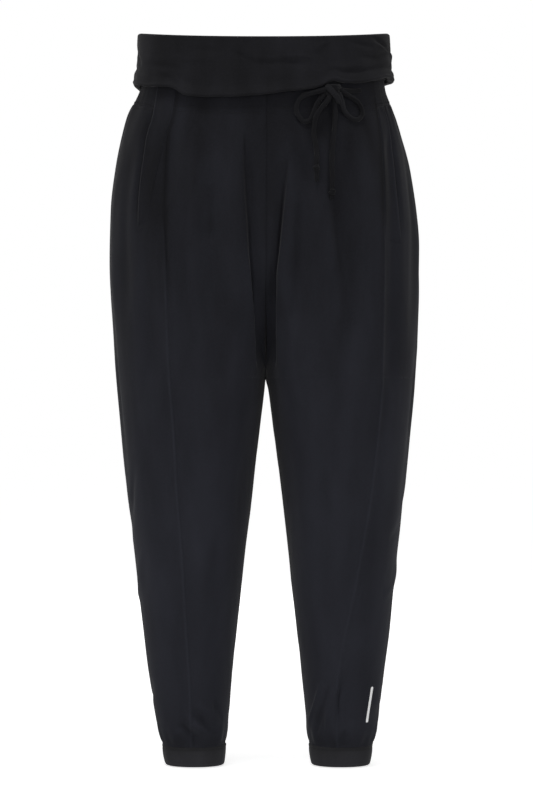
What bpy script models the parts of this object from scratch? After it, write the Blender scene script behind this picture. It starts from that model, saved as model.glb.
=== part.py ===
"""Drop-crotch joggers in black jersey, filled out as worn, with a fold-over band and a tied bow.

Sizes in the tables are millimetres; meshes are made in metres. +Z is up, -Y is the front, and
+X is the wearer's left. The origin is the centre of the waist, where the wearer holds them up.

Every cloth piece starts as a flat pattern with a unit thickness. Its points are then laid on
the form of the garment: a ring for each height, which above the crotch is open at the centre
seam and below it closes round one leg.
"""

import math

import bmesh
import bpy
import numpy as np

MM = 0.001

# ---------------------------------------------------------------- driving dimensions, in mm
CLOTH = 1.6  # single jersey wall
DOUBLED = 3.0  # two layers of jersey sewn as one
SEAM_GAP = 0.3  # clear distance between two pieces at a seam
CROTCH_Z = -372.0
HEM_Z = -850.0  # where the leg is gathered into its cuff
CUFF_FOOT_Z = -876.3
WAIST_SEAM_Z = 20.0  # where front and casing meet the fold-over band, at the side
CASING_SEAM_Z = -13.0  # lower edge of the elastic casing, at the side
BAND_TOP_Z = 80.0
FRONT_DIP = 21.0  # how far the waist drops from the side to the centre front
BACK_RISE = 4.0
DIP_ENDS_Z = -330.0  # the drop of the waist has faded out down here
SQUARENESS = 2.2  # exponent of the rings: 2 is an ellipse
VALLEY_ROUND = 16.0  # rounding of the hollow between the thighs, at the waist
GATHERS = 18  # of the casing, from where the elastic starts to the centre back
PANEL_GATHERS = 9  # those that run on into the back panel

# The form that the cloth takes: how far the outer and the inner side of each leg lie from the
# centre line, and its front and back. A negative inner side is where the two legs still merge.
FORM_COLUMNS = ("z", "right_out", "right_in", "left_out", "left_in", "front", "back")
FORM = (
    (BAND_TOP_Z, 162, -162, 157, -157, 106, 114),
    (40, 161.5, -161.5, 158, -158, 108, 116),
    (WAIST_SEAM_Z, 161, -161, 156.5, -156.5, 110, 117),
    (6, 165, -163, 158, -156, 113, 119),
    (-10, 172, -165, 163, -156, 116, 123),
    (-22, 178.5, -162, 167.5, -154, 119, 127),
    (-46, 186, -150, 175.5, -143, 123, 133),
    (-98, 198.5, -118, 189, -112, 127, 144),
    (-151, 205, -83, 196, -80, 129, 151),
    (-203, 206, -52, 200.5, -51, 128, 152),
    (-255, 204, -29, 201.5, -28, 125, 147),
    (-308, 200, -11, 200, -11, 121, 136.5),
    (-355, 196.6, -2.2, 197, -2.2, 117.2, 125.5),
    (CROTCH_Z, 195.2, 0.0, 195.8, 0.0, 115.7, 121.5),
    (-386, 194, 1.4, 194.8, 3.6, 114.5, 118.3),
    (-412, 191.6, 4.4, 192.6, 7.3, 112, 112.6),
    (-439, 189, 7.8, 190, 10.7, 109.5, 107),
    (-491, 184, 14.0, 185, 17.5, 104, 98.5),
    (-543, 178, 19.5, 179.5, 24, 97, 92.5),
    (-596, 172, 26.5, 172.5, 30, 89, 88),
    (-648, 166.5, 32.3, 167.5, 35, 80, 84),
    (-701, 160, 38.3, 162.8, 41, 69, 78.5),
    (-753, 154, 43.3, 156, 47, 58, 71),
    (-806, 146, 47.6, 149.6, 52, 47, 61),
    (-832, 141, 50, 146, 54.5, 41, 54),
    (HEM_Z, 137, 51.6, 142.5, 56, 37, 48),
)
CUFF = (
    (HEM_Z, 135, 52, 140, 57, 34, 43),
    (-862, 134, 53, 139, 58, 33, 42),
    (CUFF_FOOT_Z, 131.4, 54, 137, 60, 31, 40),
)

# The side seam comes forward: its distance from the centre line, on the front of each leg.
SEAM_COLUMNS = ("z", "right", "left")
SIDE_SEAM = (
    (WAIST_SEAM_Z, 112, 139),
    (-31, 119, 145),
    (-60, 127, 149),
    (-120, 130, 151),
    (-210, 127, 151),
    (-360, 122, 149),
    (-440, 116, 143),
    (-520, 112, 134),
    (-600, 106, 121),
    (-665, 103, 109),
    (-720, 100, 98),
    (-775, 97, 92),
    (HEM_Z, 96, 92),
)

# Lower edge of the fold-over band. Bearings are degrees round the waist from the centre front,
# positive to the wearer's left; the edge rises over the bow and at both sides.
BAND_EDGE_COLUMNS = ("bearing", "z", "bulge")
BAND_EDGE = (
    (-180, -4, 0.5),
    (-140, -2, 1.0),
    (-112, 8, 2.0),
    (-90, 14, 3.8),
    (-61, 3, 1.5),
    (-47, 0, 0.5),
    (-41, -4, 0.0),
    (-35, -12, 0.0),
    (-30, -15, 0.0),
    (-20, -17, 0.0),
    (-5, -16, 0.0),
    (9, -10, 0.0),
    (20, -6, 0.0),
    (24, -2, 0.0),
    (30, 5, 0.0),
    (36, 3, 0.0),
    (42, 3, 0.0),
    (51, 7, 0.0),
    (66, 15, 0.0),
    (76, 18, 0.5),
    (90, 17, 1.6),
    (106, 17.5, 1.0),
    (122, 14.5, 0.8),
    (146, 3, 0.5),
    (180, -4, 0.5),
)

# Soft folds of the legs. A fold runs down one face of a leg along up to three points, each a
# height and a distance from the centre line. Depth is positive for a ridge and negative for
# a trough; a lap is a ridge on the outer side of its line with a trough on the inner side.
FOLD_COLUMNS = ("side", "face", "kind", "depth", "width", "path")
FOLDS = (
    ("right", "front", "lap", 6.0, 12, ((-40, 27), (-150, 24), (-300, 15))),
    ("left", "front", "lap", 6.0, 12, ((-70, 27), (-150, 25), (-300, 12))),
    ("left", "front", "soft", -5.0, 12, ((-35, 51), (-130, 47), (-330, 41))),
    ("left", "front", "soft", -5.0, 13, ((-25, 96), (-150, 99), (-345, 113))),
    ("left", "front", "soft", 3.0, 13, ((-30, 73), (-120, 73), (-260, 76))),
    ("right", "front", "soft", -4.0, 14, ((-80, 68), (-170, 67), (-320, 64))),
    ("right", "front", "soft", 3.5, 12, ((-25, 88), (-90, 87), (-200, 88))),
    ("right", "front", "soft", -4.0, 12, ((-20, 113), (-60, 119), (-150, 123))),
    ("left", "front", "soft", -4.5, 11, ((-30, 158), (-160, 163), (-400, 160))),
    ("right", "front", "soft", -3.5, 14, ((-180, 146), (-270, 146), (-400, 143))),
    ("right", "front", "soft", -3.0, 9, ((-800, 89), (-820, 72), (-838, 58))),
    ("right", "front", "soft", -2.5, 8, ((-818, 106), (-830, 96), (-842, 88))),
    ("left", "front", "soft", 2.5, 8, ((-765, 77), (-800, 69), (-835, 61))),
    ("left", "front", "soft", -3.0, 9, ((-770, 101), (-805, 98), (-838, 99))),
    ("right", "back", "lap", 5.0, 15, ((-120, 36), (-210, 30), (-310, 16))),
    ("left", "back", "lap", 5.0, 15, ((-110, 38), (-200, 31), (-305, 15))),
    ("right", "back", "soft", -5.0, 16, ((-60, 82), (-170, 76), (-330, 92))),
    ("left", "back", "soft", -5.0, 16, ((-50, 92), (-190, 82), (-350, 96))),
    ("right", "back", "soft", -4.0, 15, ((-90, 136), (-220, 140), (-360, 134))),
    ("left", "back", "soft", -4.0, 14, ((-70, 142), (-180, 148), (-330, 140))),
    ("right", "back", "soft", -4.0, 12, ((-520, 60), (-560, 98), (-585, 138))),
    ("left", "back", "soft", -4.0, 12, ((-500, 142), (-545, 104), (-575, 66))),
    ("right", "back", "soft", -3.0, 9, ((-806, 118), (-822, 96), (-838, 76))),
    ("left", "back", "soft", -3.0, 9, ((-800, 76), (-820, 98), (-838, 120))),
)
FOLD_FADE = 45.0  # length over which a long fold dies out at each end

# Soft folds that lie along the fold-over band: bearings of their ends, share of the way up
# from its lower edge at each end, and depth.
BAND_FOLD_COLUMNS = ("from_bearing", "to_bearing", "from_rise", "to_rise", "depth")
BAND_FOLDS = (
    (-12, 22, 0.58, 0.50, -1.6),
    (-62, -30, 0.30, 0.22, -1.3),
    (20, 52, 0.28, 0.40, 1.2),
    (48, 84, 0.42, 0.74, -1.6),
    (120, 168, 0.44, 0.56, -1.6),
    (-160, -105, 0.62, 0.46, -1.6),
)
BAND_FOLD_WIDTH = 0.09  # share of the band's height

# Section of the fold-over band: how far it stands out from the form, and its share of the way
# up. The outer limb rises from the lower edge, the inner limb from the waist seam.
BAND_GAP = 2.0  # between the two limbs
BAND_FOLD_STEPS = 5  # points round the top fold
BAND_ROLL = 2.6  # radius of the bulky lower edge
BAND_ROLL_OUT = 6.2  # how far the middle of that edge stands out, without its bulge

# Pocket bands: measured round the leg, how far each starts from the side seam, and its width.
# The right one runs up under the fold-over band, the left one only to the casing.
POCKET_COLUMNS = ("z", "right_from_seam", "right_width", "left_from_seam", "left_width")
POCKET_BANDS = (
    (WAIST_SEAM_Z, 3, 33, 2.5, 18),
    (-30, 3, 30, 2.5, 24),
    (-62, 5, 28, 3, 27),
    (-106, 12, 25, 4, 27),
    (-155, 18, 23, 8, 27),
    (-200, 20, 22, 13, 25),
    (HEM_Z, 12, 16, 10, 16),
)
POCKET_CLOTH = 1.2

# The drawstring's tie at the wearer's left front: distance from the centre line, height, and
# how far the middle of the cord stands off the front panel.
TIE_RADIUS = 2.8
KNOT = (86, -6.5, 13.0)
KNOT_SIZE = (15, 9, 12)
LOOP_INNER = (
    (78.3, -6.0, 13.5),
    (70, -9, 12.0),
    (58, -12, 8.5),
    (47, -16, 6.0),
    (40.5, -24, 4.6),
    (39, -34, 4.0),
    (42.5, -43, 4.0),
    (49, -48.5, 4.0),
    (56.5, -46.5, 4.0),
    (60.5, -38, 4.2),
    (63.5, -29, 5.0),
    (68, -20.5, 7.0),
    (77.2, -12.2, 10.0),
)
LOOP_OUTER = (
    (93.5, -10.5, 14.0),
    (97, -22, 11.0),
    (100, -33.5, 7.0),
    (106, -40, 4.8),
    (113, -43.5, 4.0),
    (119.5, -42, 3.8),
    (123.5, -35.5, 3.8),
    (122, -27, 4.0),
    (117.5, -20, 5.0),
    (111, -15.5, 7.0),
    (103, -11.5, 10.0),
    (94.8, -7.2, 12.5),
)
END_INNER = (
    (83.4, -12.0, 13.6),
    (77, -23, 12.5),
    (69, -33, 11.5),
    (63.5, -43, 10.5),
    (61.5, -54, 7.0),
    (61, -65, 4.2),
    (63, -76, 4.4),
    (64, -87, 5.2),
)
END_OUTER = (
    (88.1, -12.9, 11.9),
    (88, -25, 8.0),
    (88, -42, 4.6),
    (86.5, -60, 4.0),
    (84.5, -80, 4.0),
    (83.5, -100, 4.4),
    (84, -116, 5.2),
)
LEAD = ((91.5, -1.2, 13.5), (98, -2, 10.5), (106, -3.2, 6.5), (114, -3.8, 4.6), (123, -4, 4.2))
# Each end passes straight down through its knot to a short tail.
TAILS = {"inner": (64, -99, -126), "outer": (84, -129, -148)}
END_KNOT_DROP = 9.0  # from the top of the tail to the middle of its knot
END_KNOT_RADIUS = 5.0
END_KNOT_HEIGHT = 9.0

# ---------------------------------------------------------------- laying cloth on the form


def smooth_between(xs, ys, x):
    """Value at x on a smooth curve through (xs, ys) that never overshoots its points."""
    xs, ys = np.asarray(xs, float), np.asarray(ys, float)
    step = np.diff(xs)
    slope = np.diff(ys) / step
    ease = np.zeros(len(xs))
    same = slope[:-1] * slope[1:] > 0
    ease[1:-1][same] = 2 / (1 / slope[:-1][same] + 1 / slope[1:][same])
    ease[0], ease[-1] = slope[0], slope[-1]
    x = np.clip(x, xs[0], xs[-1])
    i = np.clip(np.searchsorted(xs, x) - 1, 0, len(step) - 1)
    t = (x - xs[i]) / step[i]
    return (
        (1 + 2 * t) * (1 - t) ** 2 * ys[i]
        + t * (1 - t) ** 2 * step[i] * ease[i]
        + t * t * (3 - 2 * t) * ys[i + 1]
        + t * t * (t - 1) * step[i] * ease[i + 1]
    )


def from_table(rows, columns, name, key):
    """Reads one named column of a table at a height or bearing."""
    ordered = sorted(rows)
    index = columns.index(name)
    return float(smooth_between([r[0] for r in ordered], [r[index] for r in ordered], key))


def fade(value, start, end):
    """0 at start, 1 at end, with an easy start and stop."""
    t = min(1.0, max(0.0, (value - start) / (end - start)))
    return t * t * (3 - 2 * t)


def power(value, exponent):
    return np.sign(value) * np.abs(value) ** exponent


class Ring:
    """The form's outline round one leg at one height, from the centre front round the outer
    side to the centre back. Below the crotch it runs from the inseam to the inseam."""

    SAMPLES = 361

    def __init__(self, side, z, table=FORM):
        out, inner, front, back = (
            from_table(table, FORM_COLUMNS, name, z)
            for name in (f"{side}_out", f"{side}_in", "front", "back")
        )
        middle, half = (out + inner) / 2, (out - inner) / 2
        rounding = VALLEY_ROUND * math.sqrt(max(0.0, -inner / out))
        meet = (rounding - middle) / half
        widest = math.acos(max(-1.0, float(power(meet, SQUARENESS / 2))))
        angle = np.linspace(-widest, widest, self.SAMPLES)
        x = middle + half * power(np.cos(angle), 2 / SQUARENESS)
        x = np.sqrt(np.maximum(x * x - rounding * rounding, 0)) if inner < 0 else x
        y = (back - front) / 2 + (front + back) / 2 * power(np.sin(angle), 2 / SQUARENESS)
        self.sign = 1 if side == "left" else -1
        self.side, self.z = side, z
        self.x, self.y = x + (SEAM_GAP / 2 if inner < 0 else 0), y
        step = np.hypot(np.diff(self.x), np.diff(self.y))
        self.arc = np.concatenate([[0], np.cumsum(step)])
        self.length = self.arc[-1]
        tangent_x, tangent_y = np.gradient(self.x, self.arc), np.gradient(self.y, self.arc)
        self.normal_x, self.normal_y = tangent_y, -tangent_x
        self.outermost = int(np.argmax(self.x))

    def arc_at(self, distance, face="front"):
        """Arc length to where the ring lies this far from the centre line."""
        if face == "front":
            xs, arcs = self.x[: self.outermost], self.arc[: self.outermost]
        else:
            xs, arcs = self.x[self.outermost :][::-1], self.arc[self.outermost :][::-1]
        start = int(np.argmin(xs))
        return float(np.interp(distance, xs[start:], arcs[start:]))

    def seam(self):
        return self.arc_at(from_table(SIDE_SEAM, SEAM_COLUMNS, self.side, self.z))

    def point(self, arc, stand_out):
        """(x, y, z) in mm at an arc length, stood out from the form, with the waist's dip."""
        x, y, nx, ny = (
            float(np.interp(arc, self.arc, values))
            for values in (self.x, self.y, self.normal_x, self.normal_y)
        )
        size = math.hypot(nx, ny)
        x, y = x + nx / size * stand_out, y + ny / size * stand_out
        return self.sign * x, y, self.z + waist_dip(y, self.z)


RINGS = {}


def ring_at(side, z):
    key = (side, round(z, 3))
    if key not in RINGS:
        RINGS[key] = Ring(side, z)
    return RINGS[key]


def waist_dip(y, z):
    """The waist is cut lower in front, and a little higher at the back."""
    share = fade(z, DIP_ENDS_Z, 0)
    if y < 0:
        return -FRONT_DIP * share * (-y / 115) ** 1.2
    return BACK_RISE * share * y / 120


def fold_relief(ring, arc):
    """How far the named folds raise or sink the cloth at one point of a ring."""
    total = 0.0
    for side, face, kind, depth, width, path in FOLDS:
        top, bottom = path[0][0], path[-1][0]
        if side != ring.side or not bottom < ring.z < top:
            continue
        ordered = sorted(path)
        distance = smooth_between([p[0] for p in ordered], [p[1] for p in ordered], ring.z)
        across = (arc - ring.arc_at(float(distance), face)) / width
        across = -across if face == "back" else across
        ends = min(FOLD_FADE, (top - bottom) / 2)
        strength = fade(ring.z, top, top - ends) * fade(ring.z, bottom, bottom + ends)
        if kind == "lap":
            total += depth * strength * across * math.exp(0.5 - across * across / 2)
        else:
            total += depth * strength * math.exp(-across * across)
    return total


def pocket_edges(ring):
    """Arc lengths of a pocket band's inner edge and of its mouth edge."""
    inner = ring.seam() + from_table(
        POCKET_BANDS, POCKET_COLUMNS, f"{ring.side}_from_seam", ring.z
    )
    return inner, inner + from_table(POCKET_BANDS, POCKET_COLUMNS, f"{ring.side}_width", ring.z)


def gather_relief(ring, arc, count, height):
    """Ripples of the elastic, from the pocket or the side seam to the centre back."""
    start = pocket_edges(ring)[1] if ring.side == "right" else ring.seam()
    share = (arc - start) / (ring.length - start)
    ends = fade(share, 0, 0.04) * fade(share, 1.0, 0.97)
    return height * ends * (1 + math.cos(2 * math.pi * count * share)) / 2


def back_arc(ring, column, columns):
    """Arc length of a column line of a back piece: one column up to the pocket band, three
    under it, and the others evenly on to the centre back or the inseam."""
    first, last = ring.seam() + SEAM_GAP / 2, ring.length
    if ring.z <= CROTCH_Z:
        last -= SEAM_GAP / 2
    return float(np.interp(column, (0, 1, 4, columns), (first, *pocket_edges(ring), last)))


# ---------------------------------------------------------------- flat patterns and pieces


def flat_pattern(columns, rows, finer=()):
    """A flat plate, as wide as its columns, as long as its rows and one unit thick. The row
    lines named in finer, counted from the top, have twice the columns."""
    bm = bmesh.new()
    bmesh.ops.create_grid(bm, x_segments=columns, y_segments=rows, size=0.5)
    bmesh.ops.translate(bm, verts=bm.verts, vec=(0.5, -0.5, 0))
    bmesh.ops.scale(bm, vec=(columns, rows, 1), verts=bm.verts)
    if finer:
        across = [
            e
            for e in bm.edges
            if abs(e.verts[0].co.y - e.verts[1].co.y) < 0.1 and round(-e.verts[0].co.y) in finer
        ]
        bmesh.ops.subdivide_edges(bm, edges=across, cuts=1, use_grid_fill=True)
    sheet = bmesh.ops.extrude_face_region(bm, geom=bm.faces[:], use_keep_orig=True)
    raised = [v for v in sheet["geom"] if isinstance(v, bmesh.types.BMVert)]
    bmesh.ops.translate(bm, verts=raised, vec=(0, 0, 1))
    return bm


def finish_piece(name, bm, colour, roughness, collection):
    """Turns a bmesh in millimetres into one named object with its material."""
    bmesh.ops.triangulate(bm, faces=[f for f in bm.faces if len(f.verts) > 3])
    bmesh.ops.recalc_face_normals(bm, faces=bm.faces)
    bmesh.ops.scale(bm, vec=(MM, MM, MM), verts=bm.verts)
    mesh = bpy.data.meshes.new(name)
    bm.to_mesh(mesh)
    bm.free()
    mesh.shade_smooth()
    mesh.set_sharp_from_angle(angle=math.radians(50))
    piece = bpy.data.objects.new(name, mesh)
    collection.objects.link(piece)
    piece.data.materials.append(cloth_material(name, colour, roughness))
    return piece


def cloth_material(name, colour, roughness):
    material = bpy.data.materials.new(f"{name}_cloth")
    material.use_nodes = True
    shader = material.node_tree.nodes["Principled BSDF"]
    shader.inputs["Base Color"].default_value = (*colour, 1)
    shader.inputs["Roughness"].default_value = roughness
    shader.inputs["Metallic"].default_value = 0
    return material


JERSEY_BLACK = (0.0116, 0.0116, 0.0130)
CORD_BLACK = (0.0105, 0.0105, 0.0110)
JERSEY_ROUGHNESS = 0.9

# Heights of the rows of a leg panel below the casing seam. They close up under the gathers,
# at the crotch, where the ring changes fastest, and at the hem.
LEG_ROWS = (
    (-24, -36, -54)
    + tuple(range(-80, -340, -29))
    + (-352, -366, CROTCH_Z, -378, -396)
    + tuple(range(-430, -780, -43))
    + (-802, -826, HEM_Z)
)
BACK_TOP_Z = CASING_SEAM_Z - SEAM_GAP
CASING_ROWS = (WAIST_SEAM_Z, (WAIST_SEAM_Z + CASING_SEAM_Z) / 2, CASING_SEAM_Z)


def lay_panel(name, side, which, collection):
    """One leg panel: front, from the centre to the side seam, or back, from there on round."""
    front = which == "front"
    heights = ((WAIST_SEAM_Z, 3, -11) if front else (BACK_TOP_Z,)) + LEG_ROWS
    columns = 14 if front else 19
    bm = flat_pattern(columns, len(heights) - 1, finer=() if front else range(4))
    for vert in bm.verts:
        ring = ring_at(side, float(np.interp(-vert.co.y, range(len(heights)), heights)))
        if front:
            start = 0 if ring.z > CROTCH_Z else SEAM_GAP / 2
            arc = start + (ring.seam() - SEAM_GAP / 2 - start) * vert.co.x / columns
        else:
            arc = back_arc(ring, vert.co.x, columns)
        vert.co = ring.point(arc, leg_relief(ring, arc) - CLOTH * (1 - vert.co.z))
    return finish_piece(name, bm, JERSEY_BLACK, JERSEY_ROUGHNESS, collection)


def leg_relief(ring, arc):
    """How far the folds and gathers raise a leg panel from the form."""
    relief = fold_relief(ring, arc) + gather_at_hem(ring, arc)
    if arc > ring.seam() and ring.z < CASING_SEAM_Z:
        reach = fade(ring.z, -95, BACK_TOP_Z)
        relief += gather_relief(ring, arc, PANEL_GATHERS, 4.0 * reach)
    return relief


def gather_at_hem(ring, arc):
    """The leg is a little fuller than its cuff, so it is eased in with shallow ripples."""
    reach = fade(ring.z, HEM_Z + 40, HEM_Z + 6)
    return 0.7 * reach * math.cos(2 * math.pi * 9 * arc / ring.length)


def lay_casing(collection):
    """Elastic casing: one strip from the right side seam round the back to the left one."""
    columns = GATHERS * 4 + 4
    bm = flat_pattern(2 * columns, 2)
    for vert in bm.verts:
        side = "right" if vert.co.x < columns else "left"
        column = min(vert.co.x, 2 * columns - vert.co.x)
        ring = ring_at(side, float(np.interp(-vert.co.y, range(3), CASING_ROWS)))
        arc = back_arc(ring, column, columns)
        relief = gather_relief(ring, arc, GATHERS, 2.2)
        x, y, height = ring.point(arc, relief - DOUBLED * (1 - vert.co.z))
        vert.co = (0 if column > columns - 0.1 else x, y, height)
    return finish_piece("waist_casing", bm, JERSEY_BLACK, JERSEY_ROUGHNESS, collection)


def waist_point(bearing, z, stand_out):
    """A point of the whole waist, by its bearing from the centre front, clear of any seam."""
    out = from_table(FORM, FORM_COLUMNS, "left_out" if bearing > 0 else "right_out", z)
    front = from_table(FORM, FORM_COLUMNS, "front", z)
    back = from_table(FORM, FORM_COLUMNS, "back", z)
    angle = math.radians(bearing)
    half, middle = (front + back) / 2, (back - front) / 2
    x = out * float(power(math.sin(angle), 2 / SQUARENESS))
    y = middle - half * float(power(math.cos(angle), 2 / SQUARENESS))
    nx = float(power(math.sin(angle), 2 - 2 / SQUARENESS)) / out
    ny = -float(power(math.cos(angle), 2 - 2 / SQUARENESS)) / half
    size = math.hypot(nx, ny)
    return x + nx / size * stand_out, y + ny / size * stand_out


def band_section():
    """The fold-over band's closed section, as (limb, share of its height, stand out)."""
    inner_face, outer_limb = 0.8, 0.8 + BAND_GAP
    centre = (inner_face + outer_limb) / 2
    section = [("inner", share, inner_face - DOUBLED) for share in (0.0, 0.5, 1.0)]
    for step in range(1, BAND_FOLD_STEPS):
        angle = math.pi * (1 - step / BAND_FOLD_STEPS)
        reach = BAND_GAP / 2 + DOUBLED
        section.append(("fold", math.sin(angle) * reach, centre + math.cos(angle) * reach))
    for share, bulk in ((1.0, 0.0), (0.68, 0.7), (0.36, 1.5)):
        section.append(("outer", share, outer_limb + DOUBLED + bulk))
    for angle in (40, -20, -90, -150):
        turn = math.radians(angle)
        rise, out = BAND_ROLL * (1 + math.sin(turn)), BAND_ROLL_OUT + BAND_ROLL * math.cos(turn)
        section.append(("roll", rise, out))
    for share, bulk in ((0.18, 1.6), (0.60, 0.8), (1.0, 0.0)):
        section.append(("outer", share, outer_limb + bulk))
    for step in (1, 2):
        angle = math.pi * step / 3
        reach = BAND_GAP / 2
        section.append(("fold", math.sin(angle) * reach, centre + math.cos(angle) * reach))
    return section + [("inner", share, inner_face) for share in (1.0, 0.5, 0.0)]


def band_relief(bearing, share):
    """Soft folds along the outer limb of the band."""
    total = 0.0
    for start, end, from_rise, to_rise, depth in BAND_FOLDS:
        if not start < bearing < end:
            continue
        along = (bearing - start) / (end - start)
        across = (share - (from_rise + (to_rise - from_rise) * along)) / BAND_FOLD_WIDTH
        total += depth * math.sin(math.pi * along) * math.exp(-across * across)
    return total


def lay_band(collection):
    """The fold-over band, turned as one ring from its section and laid round the waist."""
    section, columns = band_section(), 60
    bm = bmesh.new()
    # The section is drawn by its point numbers, so that each turned point keeps its own.
    loop = [bm.verts.new((1, 0, index)) for index in range(len(section))]
    edges = [bm.edges.new((loop[i - 1], loop[i])) for i in range(len(loop))]
    bmesh.ops.spin(
        bm,
        geom=loop + edges,
        cent=(0, 0, 0),
        axis=(0, 0, 1),
        angle=2 * math.pi,
        steps=columns,
        use_merge=True,
    )
    shoulder = BAND_TOP_Z - BAND_GAP / 2 - DOUBLED
    for vert in bm.verts:
        limb, share, stand_out = section[round(vert.co.z)]
        bearing = math.degrees(math.atan2(vert.co.y, vert.co.x))
        dip = waist_dip(waist_point(bearing, BAND_TOP_Z, 0)[1], 0)
        low = from_table(BAND_EDGE, BAND_EDGE_COLUMNS, "z", bearing) - dip
        bulge = from_table(BAND_EDGE, BAND_EDGE_COLUMNS, "bulge", bearing)
        if limb == "inner":
            z = WAIST_SEAM_Z + SEAM_GAP + (shoulder - WAIST_SEAM_Z - SEAM_GAP) * share
        elif limb == "fold":
            z = shoulder + share
        elif limb == "roll":
            z = low + share
            stand_out += bulge
        else:
            z = low + (shoulder - low) * share
            stand_out += band_relief(bearing, share) + bulge * fade(share, 0.5, 0.15)
        x, y = waist_point(bearing, min(BAND_TOP_Z, max(CASING_SEAM_Z, z)), stand_out)
        vert.co = (x, y, z + dip)
    return finish_piece("waistband_fold", bm, JERSEY_BLACK, JERSEY_ROUGHNESS, collection)


def lay_cuff(side, collection):
    """A doubled cuff: a turned wall laid round the ankle, its foot edge rolled."""
    columns = 36
    section = ((0.0, 0.0), (0.45, 0.0), (0.88, 0.0), (1.0, -0.9), (1.0, -2.1))
    section += ((0.88, -DOUBLED), (0.45, -DOUBLED), (0.0, -DOUBLED))
    bm = bmesh.new()
    loop = [bm.verts.new((1, 0, index)) for index in range(len(section))]
    edges = [bm.edges.new((loop[i - 1], loop[i])) for i in range(len(loop))]
    bmesh.ops.spin(
        bm,
        geom=loop + edges,
        cent=(0, 0, 0),
        axis=(0, 0, 1),
        angle=2 * math.pi,
        steps=columns,
        use_merge=True,
    )
    for vert in bm.verts:
        share, stand_out = section[round(vert.co.z)]
        turn = math.atan2(vert.co.y, vert.co.x) / (2 * math.pi) % 1
        top = HEM_Z - SEAM_GAP
        ring = Ring(side, top + (CUFF_FOOT_Z - top) * share, CUFF)
        vert.co = ring.point(turn * ring.length, stand_out)
    name = f"cuff_{side}"
    return finish_piece(name, bm, JERSEY_BLACK, JERSEY_ROUGHNESS, collection)


def lay_pocket_band(side, collection):
    """The band along a pocket mouth: the points of the panel under it, moved out."""
    above = (*CASING_ROWS[:2], BACK_TOP_Z) if side == "right" else ()
    heights = above + tuple(z for z in LEG_ROWS if z > (-180 if side == "right" else -200))
    first = len(above) - 1 if above else 0
    last = heights.index(-54)
    bm = flat_pattern(3, len(heights) - 1, finer=range(first, last + 1))
    for vert in bm.verts:
        ring = ring_at(side, float(np.interp(-vert.co.y, range(len(heights)), heights)))
        arc = back_arc(ring, vert.co.x + 1, 19)
        vert.co = ring.point(arc, leg_relief(ring, arc) + SEAM_GAP + POCKET_CLOTH * vert.co.z)
    name = f"pocket_band_{side}"
    return finish_piece(name, bm, JERSEY_BLACK, JERSEY_ROUGHNESS, collection)


def front_point(x, height, stand_off):
    """A point this far in front of the wearer's left front panel."""
    z, y = height, -110.0
    for _ in range(4):
        z = height - waist_dip(y, z)
        ring = ring_at("left", z)
        arc = ring.arc_at(x)
        y = ring.point(arc, leg_relief(ring, arc))[1]
    return (x, y - stand_off, height)


def tie_cord(name, points, collection):
    """A round tie cord: a smooth curve through its points, with a bevel and filled caps."""
    curve = bpy.data.curves.new(name, "CURVE")
    curve.dimensions = "3D"
    curve.bevel_depth = TIE_RADIUS * MM
    curve.bevel_resolution = 2
    curve.use_fill_caps = True
    spline = curve.splines.new("POLY")
    route = smooth_route(points, 2)
    spline.points.add(len(route) - 1)
    for point, place in zip(spline.points, route):
        point.co = (*(c * MM for c in place), 1)
    cord = bpy.data.objects.new(name, curve)
    collection.objects.link(cord)
    cord.data.materials.append(cloth_material(name, CORD_BLACK, JERSEY_ROUGHNESS))
    return cord


def tie_end(side, points, collection):
    """A free end of the tie, straight through its knot, and the bead of that knot."""
    x, top, bottom = TAILS[side]
    y = min(front_point(x, z, END_KNOT_RADIUS + 0.6)[1] for z in (top, bottom))
    hang = [(x, y, top + (bottom - top) * share) for share in (0, 0.1, 0.5, 1)]
    tie_cord(f"tie_end_{side}", [front_point(*p) for p in points] + hang, collection)
    bm = bmesh.new()
    hole = TIE_RADIUS + SEAM_GAP
    section = [(hole, -0.36), (END_KNOT_RADIUS - 0.9, -0.46), (END_KNOT_RADIUS, -0.2)]
    section += [(END_KNOT_RADIUS - 0.2, 0.22), (END_KNOT_RADIUS - 1.0, 0.5), (hole, 0.4)]
    loop = [bm.verts.new((radius, 0, share * END_KNOT_HEIGHT)) for radius, share in section]
    edges = [bm.edges.new((loop[i - 1], loop[i])) for i in range(len(loop))]
    bmesh.ops.spin(
        bm,
        geom=loop + edges,
        cent=(0, 0, 0),
        axis=(0, 0, 1),
        angle=2 * math.pi,
        steps=12,
        use_merge=True,
    )
    bmesh.ops.translate(bm, verts=bm.verts, vec=(x, y, top - END_KNOT_DROP))
    finish_piece(f"tie_end_knot_{side}", bm, CORD_BLACK, JERSEY_ROUGHNESS, collection)


def smooth_route(points, steps):
    """Points read from a smooth curve through a route's own points."""
    lengths = [0.0]
    for a, b in zip(points, points[1:]):
        lengths.append(lengths[-1] + math.dist(a, b))
    places = np.interp(
        np.linspace(0, len(points) - 1, (len(points) - 1) * steps + 1),
        range(len(points)),
        lengths,
    )
    axes = [catmull(lengths, [p[axis] for p in points], places) for axis in range(3)]
    return list(zip(*axes))


def catmull(xs, ys, places):
    """A curve through (xs, ys) whose slope at a point is that between its neighbours."""
    xs, ys = np.asarray(xs), np.asarray(ys, float)
    slope = np.gradient(ys, xs)
    step = np.diff(xs)
    i = np.clip(np.searchsorted(xs, places, side="right") - 1, 0, len(step) - 1)
    t = (places - xs[i]) / step[i]
    return (
        (1 + 2 * t) * (1 - t) ** 2 * ys[i]
        + t * (1 - t) ** 2 * step[i] * slope[i]
        + t * t * (3 - 2 * t) * ys[i + 1]
        + t * t * (t - 1) * step[i] * slope[i + 1]
    )


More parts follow.
